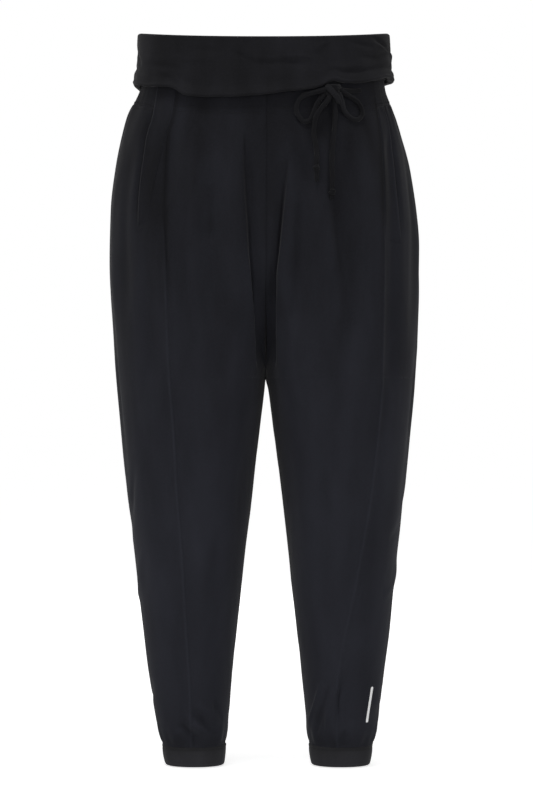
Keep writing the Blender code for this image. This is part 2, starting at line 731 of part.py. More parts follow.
def knot(name, centre, size, collection):
    """A pulled-tight knot: a rounded lump with the cord's turns as shallow grooves round it."""
    bm = bmesh.new()
    bmesh.ops.create_uvsphere(bm, u_segments=12, v_segments=7, radius=0.5)
    for vert in bm.verts:
        turn = math.atan2(vert.co.z, vert.co.x)
        groove = 1 - 0.10 * math.cos(3 * turn + 5 * vert.co.y) * (1 - abs(2 * vert.co.y))
        vert.co = [c + vert.co[i] * size[i] * groove for i, c in enumerate(centre)]
    return finish_piece(name, bm, CORD_BLACK, JERSEY_ROUGHNESS, collection)


def build():
    for obj in list(bpy.data.objects):
        bpy.data.objects.remove(obj)
    joggers = bpy.data.collections.new("joggers")
    bpy.context.scene.collection.children.link(joggers)
    for side in ("left", "right"):
        lay_panel(f"front_panel_{side}", side, "front", joggers)
        lay_panel(f"back_panel_{side}", side, "back", joggers)
        lay_pocket_band(side, joggers)
        lay_cuff(side, joggers)
    lay_casing(joggers)
    lay_band(joggers)
    knot("bow_knot", front_point(*KNOT), KNOT_SIZE, joggers)
    tie_cord("bow_loop_inner", [front_point(*p) for p in LOOP_INNER], joggers)
    tie_cord("bow_loop_outer", [front_point(*p) for p in LOOP_OUTER], joggers)
    tie_cord("tie_lead", [front_point(*p) for p in LEAD], joggers)
    tie_end("inner", END_INNER, joggers)
    tie_end("outer", END_OUTER, joggers)


build()
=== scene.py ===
"""Looks of the drop-crotch jersey joggers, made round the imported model.

Sizes are millimetres, as a pattern cutter states them; meshes are in metres. +Z is up, -Y is
the front and +X is the wearer's left. The file goes from the camera and the jersey to the legs
with their stitching and reflective bar, the pocket bands, the casing, the fold-over band, the
cuffs and the drawstring, and ends with the studio.
"""

import math

import bmesh
import bpy
import numpy as np
from mathutils import Matrix, Vector, noise


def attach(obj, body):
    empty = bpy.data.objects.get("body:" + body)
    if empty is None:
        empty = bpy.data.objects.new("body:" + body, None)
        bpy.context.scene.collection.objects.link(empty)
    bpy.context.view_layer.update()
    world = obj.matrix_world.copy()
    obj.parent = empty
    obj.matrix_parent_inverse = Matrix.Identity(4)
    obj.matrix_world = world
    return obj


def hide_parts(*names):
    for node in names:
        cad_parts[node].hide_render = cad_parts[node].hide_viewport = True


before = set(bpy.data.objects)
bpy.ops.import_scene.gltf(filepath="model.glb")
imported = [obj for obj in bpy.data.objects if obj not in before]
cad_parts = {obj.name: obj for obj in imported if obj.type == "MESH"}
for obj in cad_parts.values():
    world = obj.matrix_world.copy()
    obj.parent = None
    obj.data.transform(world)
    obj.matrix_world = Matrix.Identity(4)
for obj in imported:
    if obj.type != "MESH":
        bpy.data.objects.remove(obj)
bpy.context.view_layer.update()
MM = 0.001

# ---------------------------------------------------------------- camera
# It stands level with the thighs and straight in front, so far back that both legs show alike.
CAMERA_AWAY = 3200
CAMERA_ASIDE = 1.3
CAMERA_HEIGHT = -399.6
VIEW_HEIGHT = 1048  # what the picture's height spans, in the plane of the side seams
SENSOR = 36

camera = bpy.data.objects.new("camera", bpy.data.cameras.new("camera"))
camera.data.sensor_width = SENSOR
camera.data.lens = SENSOR * CAMERA_AWAY / VIEW_HEIGHT
camera.location = (CAMERA_ASIDE * MM, -CAMERA_AWAY * MM, CAMERA_HEIGHT * MM)
camera.rotation_euler = (math.radians(90), 0, 0)
bpy.context.scene.collection.objects.link(camera)
bpy.context.scene.camera = camera

# ---------------------------------------------------------------- the jersey
# Single jersey of cotton with a little elastane, dyed black and brushed matt: it gives the eye
# a soft, slightly blue black, with a faint bloom where it turns away.
JERSEY_DARK = "#161619"
JERSEY_LIGHT = "#2d2e35"
JERSEY_SHEEN = "#c2c1c0"
WALE = 1.3  # knit columns, drawn a little coarser than the real 0.8, which would not show
COURSE = 1.0  # knit rows, likewise
KNIT_HEIGHT = 0.16
CLOUD = 40.0  # width of the dye's soft lighter and darker streaks
DRAWN_OUT = (1, 1, 0.3)  # the streaks run down the leg
FLECK = 2.4  # size of the brushed fibres' flecks
PAINTED_PALER_FROM, PAINTED_PALER_TO = -60, -560  # heights between which the cloth is painted paler, for the light from the white floor
DYE_SPREAD = (0.54, 1.82)  # of streaks, flecks and painted light together, from the dark dye to the light
ROUGHNESS = (0.82, 0.96)


def linear(colour):
    """An sRGB hex colour as linear red, green, blue and alpha."""
    channels = [int(colour[i : i + 2], 16) / 255 for i in (1, 3, 5)]
    bright = [c / 12.92 if c <= 0.04045 else ((c + 0.055) / 1.055) ** 2.4 for c in channels]
    return (*bright, 1)


def add_node(tree, kind, inputs=None, **settings):
    """One shader node with its settings and, for each input, a value or the output it reads."""
    node = tree.nodes.new("ShaderNode" + kind)
    for name, value in settings.items():
        setattr(node, name, value)
    for name, value in (inputs or {}).items():
        if isinstance(value, bpy.types.NodeSocket):
            tree.links.new(value, node.inputs[name])
        else:
            node.inputs[name].default_value = value
    return node


def new_finish(name, sockets):
    """A material with these values on its Principled shader's own sockets."""
    material = bpy.data.materials.new(name)
    material.use_nodes = True
    for socket, value in sockets.items():
        material.node_tree.nodes["Principled BSDF"].inputs[socket].default_value = value
    return material


def jersey(name, dark, light, knit_height=KNIT_HEIGHT, worn=0.0):
    """Brushed single jersey: flecked colour, and knit columns and rows along the cloth's grain.
    The last argument is the share by which the colour is painted paler towards the ankles, for the
    light the white floor throws up; the mesh's attribute of that name adds painted highlights and shade."""
    sheen = {"Sheen Weight": 0.12, "Sheen Roughness": 0.45, "Sheen Tint": linear(JERSEY_SHEEN)}
    material = new_finish(name, {"Specular IOR Level": 0.05, **sheen})
    tree = material.node_tree
    place = add_node(tree, "TexCoord").outputs["Object"]
    streaks = add_node(tree, "VectorMath", {0: place, 1: DRAWN_OUT}, operation="MULTIPLY").outputs[0]
    noise_at = {"Vector": streaks, "Scale": 1 / (CLOUD * MM), "Detail": 3.0}
    cloud = add_node(tree, "TexNoise", noise_at).outputs["Fac"]
    noise_at = {"Vector": place, "Scale": 1 / (FLECK * MM), "Detail": 2.0, "Roughness": 0.7}
    fleck = add_node(tree, "TexNoise", noise_at).outputs["Fac"]
    blend = add_node(tree, "Math", {0: fleck, 1: 0.5, 2: cloud}, operation="MULTIPLY_ADD")
    # Painted paler low down, for the light the white floor throws up, and by the mesh's attribute for
    # painted highlights and shade.
    height = add_node(tree, "SeparateXYZ", {0: place}).outputs["Z"]
    down = {"Value": height, "From Min": PAINTED_PALER_FROM * MM, "From Max": PAINTED_PALER_TO * MM, "To Max": worn}
    painted_paler_low = add_node(tree, "MapRange", down).outputs[0]
    painted_light_attribute = add_node(tree, "Attribute", attribute_name="worn").outputs["Fac"]
    painted_paleness = add_node(tree, "Math", {0: painted_light_attribute, 1: painted_paler_low}, operation="ADD").outputs[0]
    tone_and_painted_light = add_node(tree, "Math", {0: blend.outputs[0], 1: painted_paleness}, operation="ADD").outputs[0]
    dye = {"Value": tone_and_painted_light, "From Min": DYE_SPREAD[0], "From Max": DYE_SPREAD[1]}
    dyes = {"Factor": add_node(tree, "MapRange", dye).outputs[0], 6: linear(dark), 7: linear(light)}
    colour = add_node(tree, "Mix", dyes, data_type="RGBA").outputs[2]
    matt = {"Value": fleck, "To Min": ROUGHNESS[0], "To Max": ROUGHNESS[1]}
    rough = add_node(tree, "MapRange", matt).outputs[0]
    grain = add_node(tree, "UVMap", uv_map="grain").outputs["UV"]
    along = add_node(tree, "SeparateXYZ", {0: grain}).outputs
    wale = add_node(tree, "Math", {0: along["X"], 1: 1 / (WALE * MM)}, operation="MULTIPLY")
    rib = add_node(tree, "Math", {0: wale.outputs[0], 1: 0.5}, operation="PINGPONG").outputs[0]
    rows = {0: along["Y"], 1: 1 / (COURSE * MM), 2: rib}
    course = add_node(tree, "Math", rows, operation="MULTIPLY_ADD").outputs[0]
    loop = add_node(tree, "Math", {0: course, 1: 0.5}, operation="PINGPONG").outputs[0]
    knit = add_node(tree, "Math", {0: loop, 1: 0.6, 2: rib}, operation="MULTIPLY_ADD").outputs[0]
    fuzz = add_node(tree, "Math", {0: fleck, 1: 0.9, 2: knit}, operation="MULTIPLY_ADD").outputs[0]
    bump = add_node(tree, "Bump", {"Height": fuzz, "Distance": knit_height * MM, "Strength": 0.7})
    made = {"Base Color": colour, "Roughness": rough, "Normal": bump.outputs["Normal"]}
    for socket, output in made.items():
        tree.links.new(output, tree.nodes["Principled BSDF"].inputs[socket])
    return material


# The legs' jersey is painted paler towards the ankles, for the light the white floor throws up.
JERSEY = jersey("brushed_black_jersey", JERSEY_DARK, JERSEY_LIGHT, worn=0.74)

# ---------------------------------------------------------------- the legs
# Four panels of single jersey, sewn at the centre, the inseam and a side seam that lies well
# forward. Each edge is turned in at its seam and its allowance lies inside. The cloth stands
# on rings, one for each height; below the crotch a ring closes round one leg.
CLOTH = 1.6
SEAM_GAP = 0.03
CENTRE_GAP = 0.01
CROTCH_Z = -372.0
HEM_Z = -850.0
CUFF_FOOT_Z = -876.3
WAIST_SEAM_Z = 20.0
CASING_SEAM_Z = -13.0
BAND_TOP_Z = 80.0
FRONT_DIP = 21.0  # how far the waist drops from the side to the centre front
BACK_RISE = 4.0
DIP_ENDS_Z = -330.0
SQUARENESS = 2.2  # exponent of the rings: 2 is an ellipse
# The cloth hangs squarer over the inner front of each thigh: its exponent at these heights.
INNER_SQUARENESS = (
    *((BAND_TOP_Z, 2.2), (-70, 2.2), (-200, 2.8), (-330, 3.3)),
    *((-380, 3.3), (-440, 2.8), (-540, 2.2), (HEM_Z, 2.2)),
)
VALLEY_ROUND = 24.0  # rounding of the hollow between the thighs, at the waist

# How far the outer and inner side of each leg lie from the centre line, and its front and back.
FORM_COLUMNS = ("z", "right_out", "right_in", "left_out", "left_in", "front", "back")
FORM = (
    (BAND_TOP_Z, 162, -162, 157, -157, 106, 114),
    (40, 161.5, -161.5, 158, -158, 108, 116),
    (WAIST_SEAM_Z, 161, -161, 156.5, -156.5, 110, 117),
    (6, 165, -163, 158, -156, 113, 119),
    (-10, 172, -165, 163, -156, 116, 123),
    (-22, 178.5, -162, 167.5, -154, 119, 127),
    (-46, 186, -150, 175.5, -143, 123, 133),
    (-98, 198.5, -118, 189, -112, 127, 144),
    (-151, 205, -83, 196, -80, 129, 151),
    (-203, 206, -52, 200.5, -51, 128, 152),
    (-255, 204, -29, 201.5, -28, 125, 147),
    (-308, 200, -11, 200, -11, 121, 136.5),
    (-355, 196.6, -2.2, 197, -2.2, 117.2, 125.5),
    (CROTCH_Z, 195.2, 0.0, 195.8, 0.0, 115.7, 121.5),
    (-386, 194, 1.4, 194.8, 3.6, 114.5, 118.3),
    (-412, 191.6, 4.4, 192.6, 7.3, 112, 112.6),
    (-439, 189, 7.8, 190, 10.7, 109.5, 107),
    (-491, 184, 14.0, 185, 17.5, 104, 98.5),
    (-543, 178, 19.5, 179.5, 24, 97, 92.5),
    (-596, 172, 26.5, 172.5, 30, 89, 88),
    (-648, 166.5, 32.3, 167.5, 35, 80, 84),
    (-701, 160, 38.3, 162.8, 41, 69, 78.5),
    (-753, 154, 43.3, 156, 47, 58, 71),
    (-806, 146, 47.6, 149.6, 52, 47, 61),
    (-832, 141, 50, 146, 54.5, 41, 54),
    (HEM_Z, 137, 51.6, 142.5, 56, 37, 48),
)

# The side seam: its distance from the centre line, on the front of each leg.
SEAM_COLUMNS = ("z", "right", "left")
SIDE_SEAM = (
    (WAIST_SEAM_Z, 112, 139),
    (-24, 119, 144.5),
    (-42, 125, 147),
    (-60, 128, 149),
    (-120, 130, 151),
    (-210, 127, 151),
    (-360, 122, 149),
    (-440, 116, 143),
    (-520, 112, 134),
    (-600, 106, 121),
    (-665, 103, 109),
    (-720, 100, 98),
    (-775, 97, 92),
    (HEM_Z, 96, 92),
)

# The folds that hang down the legs, as the solids have them: side, face, kind, depth, width and
# path. A fold runs along three points, each a height and a distance from the centre line. Depth
# is positive for a ridge; a lap is a ridge on the outer side of its line with a trough on the
# inner side. It takes FOLD_FADE to rise from each end.
FOLDS = (
    ("right", "front", "lap", 2.4, 12, ((-40, 27), (-150, 24), (-300, 15))),
    ("left", "front", "lap", 2.4, 12, ((-70, 27), (-150, 25), (-300, 12))),
    ("left", "front", "soft", -5.0, 12, ((-35, 51), (-130, 47), (-330, 41))),
    ("left", "front", "soft", -5.0, 13, ((-25, 96), (-150, 99), (-345, 113))),
    ("left", "front", "soft", 3.0, 13, ((-30, 73), (-120, 73), (-260, 76))),
    ("right", "front", "soft", -4.0, 14, ((-80, 68), (-170, 67), (-320, 64))),
    ("right", "front", "soft", 3.5, 12, ((-25, 88), (-90, 87), (-200, 88))),
    ("right", "front", "soft", -4.0, 12, ((-20, 113), (-60, 119), (-150, 123))),
    ("left", "front", "soft", -4.5, 11, ((-30, 158), (-160, 163), (-400, 160))),
    ("right", "front", "soft", -3.5, 14, ((-180, 146), (-270, 146), (-400, 143))),
    ("right", "front", "soft", -3.0, 9, ((-800, 89), (-820, 72), (-838, 58))),
    ("right", "front", "soft", -2.5, 8, ((-818, 106), (-830, 96), (-842, 88))),
    ("left", "front", "soft", 2.5, 8, ((-765, 77), (-800, 69), (-835, 61))),
    ("left", "front", "soft", -3.0, 9, ((-770, 101), (-805, 98), (-838, 99))),
    ("right", "back", "lap", 5.0, 15, ((-120, 36), (-210, 30), (-310, 16))),
    ("left", "back", "lap", 5.0, 15, ((-110, 38), (-200, 31), (-305, 15))),
    ("right", "back", "soft", -5.0, 16, ((-60, 82), (-170, 76), (-330, 92))),
    ("left", "back", "soft", -5.0, 16, ((-50, 92), (-190, 82), (-350, 96))),
    ("right", "back", "soft", -4.0, 15, ((-90, 136), (-220, 140), (-360, 134))),
    ("left", "back", "soft", -4.0, 14, ((-70, 142), (-180, 148), (-330, 140))),
    ("right", "back", "soft", -4.0, 12, ((-520, 60), (-560, 98), (-585, 138))),
    ("left", "back", "soft", -4.0, 12, ((-500, 142), (-545, 104), (-575, 66))),
    ("right", "back", "soft", -3.0, 9, ((-806, 118), (-822, 96), (-838, 76))),
    ("left", "back", "soft", -3.0, 9, ((-800, 76), (-820, 98), (-838, 120))),
)
FOLD_FADE = 45.0

# Finer creases that the solids leave out. On the front and back a path's points are a height
# and a distance from the centre line; on the side, a height and the way round the leg from the
# side seam, positive towards the back.
CENTRE_CREASES = {
    "right": (
        *((-40, 28), (-67, 28), (-121, 26), (-163, 23.2)),
        *((-205, 21), (-245, 17.2), (-285, 14.2), (-360, 10.8)),
    ),
    "left": (
        *((-70, 29.6), (-95, 28), (-121, 25.2), (-163, 21)),
        *((-205, 17), (-245, 12.8), (-285, 12.6), (-360, 13)),
    ),
}
CREASES = (  # the columns are those of the folds
    ("right", "front", "lap", 1.9, 1.9, CENTRE_CREASES["right"]),
    ("left", "front", "lap", 1.9, 1.8, CENTRE_CREASES["left"]),
    ("right", "front", "soft", -3.2, 1.6, tuple((z, x - 1.6) for z, x in CENTRE_CREASES["right"])),
    ("left", "front", "soft", -2.6, 1.6, tuple((z, x - 1.5) for z, x in CENTRE_CREASES["left"])),
    ("left", "front", "soft", -1.8, 4, ((-125, 85), (-190, 90), (-250, 98), (-345, 108))),
    ("left", "front", "soft", 1.4, 5, ((-110, 78), (-170, 82), (-230, 90), (-300, 98))),
    ("left", "front", "soft", -1.5, 4, ((-130, 44), (-180, 41), (-235, 40))),
    ("right", "front", "soft", -1.6, 5, ((-110, 70), (-155, 68), (-190, 70))),
    ("right", "front", "soft", -1.2, 4, ((-170, 66), (-210, 65), (-260, 66))),
    ("right", "front", "soft", 1.3, 5, ((-140, 118), (-190, 122), (-240, 120))),
    ("right", "front", "soft", -1.1, 4, ((-120, 126), (-200, 124), (-290, 118))),
    ("right", "front", "soft", 1.2, 8, ((-60, 45), (-150, 44), (-250, 38))),
    ("left", "front", "soft", -1.6, 6, ((-110, 84), (-190, 88), (-280, 92))),
    ("left", "front", "soft", 1.3, 9, ((-140, 120), (-240, 124), (-330, 122))),
    ("right", "front", "soft", -1.3, 7, ((-180, 104), (-280, 100), (-370, 96))),
    ("right", "front", "soft", 1.4, 10, ((-420, 92), (-520, 86), (-640, 78))),
    ("left", "front", "soft", -1.4, 9, ((-400, 66), (-500, 74), (-590, 78))),
    ("left", "front", "soft", 1.5, 10, ((-520, 112), (-610, 100), (-700, 84))),
    ("right", "front", "soft", -1.5, 9, ((-560, 62), (-650, 66), (-740, 72))),
    ("right", "front", "soft", 1.2, 7, ((-700, 120), (-760, 112), (-815, 108))),
    ("right", "front", "soft", -3.0, 5.0, ((-816, 111), (-830, 98), (-848, 84))),
    ("right", "front", "soft", 2.2, 4.5, ((-804, 106), (-820, 92), (-840, 76))),
    ("right", "front", "soft", -3.2, 4.5, ((-798, 94), (-813, 84), (-834, 64))),
    ("right", "front", "soft", 2.0, 4.0, ((-790, 86), (-806, 74), (-822, 60))),
    ("right", "front", "soft", -2.2, 4.0, ((-786, 68), (-800, 63), (-816, 56))),
    ("right", "front", "soft", 1.8, 5.0, ((-828, 118), (-838, 108), (-848, 100))),
    ("left", "front", "soft", 3.0, 3.2, ((-764, 73), (-800, 62), (-834, 55))),
    ("left", "front", "soft", -2.6, 3.6, ((-768, 82), (-804, 72), (-838, 64))),
    ("left", "front", "soft", 1.8, 3.4, ((-770, 88), (-808, 80), (-842, 76))),
    ("left", "front", "soft", -3.0, 3.2, ((-748, 101), (-792, 93), (-842, 93))),
    ("left", "front", "soft", -2.0, 4.0, ((-824, 104), (-836, 102), (-849, 104))),
    ("left", "front", "soft", 1.8, 4.0, ((-812, 116), (-830, 114), (-848, 116))),
    ("right", "side", "soft", -2.6, 12, ((-60, 58), (-160, 66), (-300, 70))),
    ("right", "side", "soft", 2.0, 11, ((-90, 92), (-210, 104), (-330, 98))),
    ("right", "side", "soft", -2.8, 13, ((-40, 128), (-180, 150), (-360, 160))),
    ("right", "side", "soft", -2.2, 11, ((-250, 122), (-380, 112), (-520, 92))),
    ("right", "side", "soft", -2.0, 10, ((-470, 60), (-540, 90), (-575, 128))),
    ("right", "side", "soft", 1.8, 10, ((-590, 62), (-640, 88), (-660, 120))),
    ("right", "side", "soft", -2.0, 9, ((-760, 66), (-790, 88), (-800, 118))),
    ("left", "side", "soft", -2.6, 12, ((-70, 66), (-190, 72), (-340, 62))),
    ("left", "side", "soft", 2.2, 11, ((-50, 88), (-150, 98), (-280, 94))),
    ("left", "side", "soft", -2.6, 13, ((-60, 118), (-200, 132), (-330, 126))),
    ("left", "side", "soft", -2.2, 11, ((-310, 92), (-420, 84), (-540, 66))),
    ("left", "side", "soft", -2.2, 10, ((-500, 118), (-556, 84), (-580, 44))),
    ("left", "side", "soft", 1.8, 9, ((-610, 108), (-640, 78), (-650, 48))),
    ("left", "side", "soft", -2.0, 9, ((-780, 104), (-806, 76), (-812, 44))),
    ("right", "back", "soft", 2.0, 12, ((-80, 58), (-190, 54), (-300, 50))),
    ("left", "back", "soft", 2.2, 12, ((-70, 64), (-180, 58), (-290, 52))),
    ("right", "back", "soft", -2.4, 11, ((-140, 112), (-260, 116), (-360, 110))),
    ("left", "back", "soft", -2.2, 11, ((-120, 118), (-240, 114), (-350, 118))),
    ("right", "back", "soft", -2.6, 11, ((-350, 30), (-385, 62), (-400, 104))),
    ("left", "back", "soft", -2.6, 11, ((-345, 32), (-380, 66), (-392, 110))),
    ("right", "back", "soft", -2.0, 10, ((-430, 70), (-500, 84), (-560, 92))),
    ("left", "back", "soft", -2.0, 10, ((-420, 76), (-480, 84), (-540, 88))),
    ("right", "back", "soft", 2.0, 10, ((-555, 52), (-596, 88), (-610, 124))),
    ("left", "back", "soft", 2.0, 10, ((-540, 130), (-582, 100), (-604, 62))),
    ("right", "back", "soft", -2.0, 9, ((-660, 64), (-700, 92), (-716, 120))),
    ("left", "back", "soft", -2.0, 9, ((-640, 122), (-690, 96), (-712, 70))),
    ("right", "back", "soft", -1.8, 8, ((-758, 72), (-784, 98), (-790, 122))),
    ("left", "back", "soft", -1.8, 8, ((-748, 124), (-774, 98), (-786, 76))),
)

# Pocket bands: how far round the leg each starts from the side seam, and its width.
POCKET_COLUMNS = ("z", "right_from_seam", "right_width", "left_from_seam", "left_width")
POCKET_BANDS = (
    (WAIST_SEAM_Z, 0.3, 34, 0.3, 16),
    (-30, 0.3, 31, 0.3, 21.5),
    (-62, 3, 29, 0.3, 25),
    (-106, 11, 25, 0.3, 26),
    (-155, 18, 22, 0.3, 30),
    (-200, 20, 21, 0.3, 33),
    (HEM_Z, 12, 16, 10, 16),
)
POCKET_ENDS_Z = {"right": -172.0, "left": -198.0}
SEAM_WAVER = 0.8  # how far the gathered casing seam strays up and down
GATHERS = 27  # of the casing, from where the elastic starts to the centre back
PANEL_GATHERS = 13  # those that run on into the back panel

# A turned-in edge: how far from the seam line each column of the cloth lies, and how deep.
TURNED_EDGE = (
    *((0.0, 6.0), (0.0, 3.2), (0.0, 1.5), (0.0, 0.5)),
    *((0.005, 0.04), (0.015, 0.0), (0.3, 0.0)),
)
PRESSED = 0.55  # how far a centre allowance leans to the wearer's left, for its depth
AT_CENTRE = 1.3  # the cloth's edge that turns into it
ALLOWANCE_WALL = 0.35  # share of the wall's thickness in the allowance, so that it bends clear
ALLOWANCE_FROM = 0.2  # how deep the allowance starts
STITCH_IN = 3.9  # from a seam to the row of stitches beside it
HEM_DRAWN_IN, HEM_DRAWN_OVER = 1.9, 22  # how far a cuff draws in the hem, and over what height
HOLLOW = 5.5  # how deep the front falls back between the creases above the crotch
FULLNESS, FULLEST = 2.0, 27  # how much fuller a leg hangs on its inner front, and how far out

# Soft profiles across the cloth: where each swell lies, its width, and its height, or for the
# painted light how much paler it is painted, or darker where negative, on the scale of the dye's own
# spread. They are measured backwards from the side seam or from the pocket's mouth, or upwards from the
# hem.
SEAM_RIDGE = ((0.4, 2.2, 0.7), (-3.2, 1.6, -0.14), (6.5, 3.5, -0.49))
# painted highlight along the raised edge of a side seam
SEAM_PAINTED_HIGHLIGHT = ((0.8, 1.5, 0.45),)
# painted shade on the front panel beside the pocket band
BESIDE_POCKET_PAINTED_SHADE = ((-2.0, 3.5, -0.3),)
MOUTH_HOLLOW = ((3.0, 5.5, -3.2), (0.6, 1.6, -2.56))
# painted shade in the hollow behind the pocket's mouth
MOUTH_PAINTED_SHADE = ((1.0, 2.6, -0.45),)
STITCH_GROOVE = ((STITCH_IN, 0.9, -0.35),)
# painted shade in the gathers just above the cuff
HEM_PAINTED_SHADE = ((6, 13, -0.3),)
BEHIND_BOW, BOW_REACH, BOW_PAINTED_SHADOW = (-22, 72), 25, 0.4  # height and place, reach, and how much darker the bow's painted shadow is
# painted shade in the creases' troughs and a faint painted highlight on their crests
CREASE_PAINTED_SHADING = 0.15
LOW_FROM, LOW_TO = -110, -330  # heights between which a side seam comes clear of its pocket


def curve_at(xs, ys, slope, x):
    """Values at x on the curve through (xs, ys) that has these slopes there."""
    i = np.clip(np.searchsorted(xs, x) - 1, 0, len(xs) - 2)
    step = np.diff(xs)[i]
    t = (x - xs[i]) / step
    from_first = (1 + 2 * t) * (1 - t) ** 2 * ys[i] + t * (1 - t) ** 2 * step * slope[i]
    return from_first + t * t * (3 - 2 * t) * ys[i + 1] + t * t * (t - 1) * step * slope[i + 1]


def smooth_between(path, x):
    """Values at x on a smooth curve through a path's points that never overshoots them."""
    xs, ys = np.array(sorted(path), float).T
    slope = np.diff(ys) / np.diff(xs)
    ease = np.zeros(len(xs))
    same = slope[:-1] * slope[1:] > 0
    ease[1:-1][same] = 2 / (1 / slope[:-1][same] + 1 / slope[1:][same])
    ease[0], ease[-1] = slope[0], slope[-1]
    return curve_at(xs, ys, ease, np.clip(x, xs[0], xs[-1]))


def from_table(rows, columns, name, key):
    """Reads one named column of a table at heights or bearings."""
    index = columns.index(name)
    return smooth_between([(row[0], row[index]) for row in rows], key)


def swells(away, rows):
    """A profile of soft swells and hollows, at these distances across it."""
    return sum(height * np.exp(-(((away - at) / width) ** 2)) for at, width, height in rows)


def fade(value, start, end):
    """0 at start, 1 at end, with an easy start and stop."""
    t = np.clip((value - start) / (end - start), 0, 1)
    return t * t * (3 - 2 * t)


def power(value, exponent):
    return np.sign(value) * np.abs(value) ** exponent


def waist_dip(y, z):
    """The waist is cut lower in front, and a little higher at the back."""
    share = fade(z, DIP_ENDS_Z, 0)
    front = -FRONT_DIP * share * (np.maximum(-y, 0) / 115) ** 1.2
    return front + BACK_RISE * share * np.maximum(y, 0) / 120


class Ring:
    """The cloth's outline round one leg at one height, from the centre front round the outer
    side to the centre back. Below the crotch it runs from the inseam to the inseam."""

    SAMPLES = 721

    def __init__(self, side, z, table=FORM):
        out, inner, front, back = (
            float(from_table(table, FORM_COLUMNS, name, z))
            for name in (f"{side}_out", f"{side}_in", "front", "back")
        )
        middle, half = (out + inner) / 2, (out - inner) / 2
        joined = float(fade(-inner, 0, 4))  # 0 where the legs are apart, 1 above the crotch
        rounding = VALLEY_ROUND * math.sqrt(max(0.0, -inner / out)) * joined
        meet = (rounding - middle) / half
        squarer = float(smooth_between(INNER_SQUARENESS, z))
        ends = [math.acos(max(-1.0, float(power(meet, n / 2)))) for n in (squarer, SQUARENESS)]
        angle = np.linspace(-ends[0], ends[1], self.SAMPLES)
        squareness = np.where(angle < -math.pi / 2, squarer, SQUARENESS)
        x = middle + half * power(np.cos(angle), 2 / squareness)
        x = np.sqrt(np.maximum(x * x - rounding * rounding, 0)) if inner < 0 else x
        y = (back - front) / 2 + (front + back) / 2 * power(np.sin(angle), 2 / squareness)
        self.sign = 1 if side == "left" else -1
        self.side, self.z = side, z
        self.x, self.y = x + CENTRE_GAP / 2 * joined, y
        step = np.hypot(np.diff(self.x), np.diff(self.y))
        self.arc = np.concatenate([[0], np.cumsum(step)])
        self.length = self.arc[-1]
        tangent_x, tangent_y = np.gradient(self.x, self.arc), np.gradient(self.y, self.arc)
        self.normal_x, self.normal_y = tangent_y, -tangent_x
        self.outermost = int(np.argmax(self.x))
        self.seam = self.arc_at(float(from_table(SIDE_SEAM, SEAM_COLUMNS, side, z)))

    def arc_at(self, distance, face="front"):
        """Arc length to where the ring lies this far from the centre line."""
        if face == "front":
            xs, arcs = self.x[: self.outermost], self.arc[: self.outermost]
        else:
            xs, arcs = self.x[self.outermost :][::-1], self.arc[self.outermost :][::-1]
        start = int(np.argmin(xs))
        return float(np.interp(distance, xs[start:], arcs[start:]))

    def past_inner(self, distance):
        """Arc length from the inner edge to where the front lies this far outside it."""
        return self.arc_at(distance + max(0.0, float(self.x.min())))

    def points(self, arc, stand_out, sink=0.0):
        """Points in metres at arc lengths, stood out from the form, with the waist's dip. At
        the centre seam the sunk allowances lie against each other, pressed to one side."""
        x, y, nx, ny = (
            np.interp(arc, self.arc, values)
            for values in (self.x, self.y, self.normal_x, self.normal_y)
        )
        size = np.hypot(nx, ny)
        from_seam = np.minimum(arc, self.length - arc)
        at_centre = (self.z > CROTCH_Z) & (from_seam < AT_CENTRE)
        inwards_x = np.where(at_centre, self.sign * PRESSED, -nx / size)
        inwards_y = np.where(at_centre, np.where(y < 0, 1, -1), -ny / size)
        x = x + nx / size * stand_out + inwards_x * sink
        y = y + ny / size * stand_out + inwards_y * sink
        near = math.exp(-(((self.z - CASING_SEAM_Z) / 12) ** 2)) * fade(arc, self.seam, self.seam + 30)
        waver = SEAM_WAVER * near * (np.sin(arc / 6.5) + np.sin(arc / 11 + 2))
        z = self.z + waist_dip(y, self.z) + waver
        return np.stack([self.sign * x, y, z], axis=-1) * MM


RINGS = {}


def ring_at(side, z):
    key = (side, round(z, 3))
    if key not in RINGS:
        RINGS[key] = Ring(side, z)
    return RINGS[key]


def pocket_edges(ring):
    """Arc lengths of a pocket band's inner edge and of its mouth edge."""
    inner = ring.seam + from_table(POCKET_BANDS, POCKET_COLUMNS, f"{ring.side}_from_seam", ring.z)
    return inner, inner + from_table(POCKET_BANDS, POCKET_COLUMNS, f"{ring.side}_width", ring.z)


def fold_relief(ring, arc):
    """How far the hanging folds raise or sink the cloth along one ring."""
    total = np.zeros(len(arc))
    for side, face, kind, depth, width, path in FOLDS:
        top, bottom = path[0][0], path[-1][0]
        if side != ring.side or not bottom < ring.z < top:
            continue
        across = (arc - ring.arc_at(float(smooth_between(path, ring.z)), face)) / width
        across = -across if face == "back" else across
        ends = min(FOLD_FADE, (top - bottom) / 2)
        strength = depth * fade(ring.z, top, top - ends) * fade(ring.z, bottom, bottom + ends)
        if kind == "lap":
            across = across * np.where(across < 0, 1.9, 1)
            total += strength * across * np.exp(0.5 - across * across / 2)
        else:
            total += strength * np.exp(-across * across)
    return total


CREASE_STEPS = 28
CREASE_LINES = []
for crease_side, face, kind, depth, width, path in CREASES:
    steps = np.linspace(0, len(path) - 1, CREASE_STEPS)
    heights = np.interp(steps, range(len(path)), [z for z, _ in path])
    across = smooth_between(path, heights)
    if face != "side":
        rings = [ring_at(crease_side, z) for z in heights]
        across = [r.arc_at(a, face) - r.seam for r, a in zip(rings, across)]
    CREASE_LINES.append((crease_side, kind, depth, width, heights, np.array(across)))


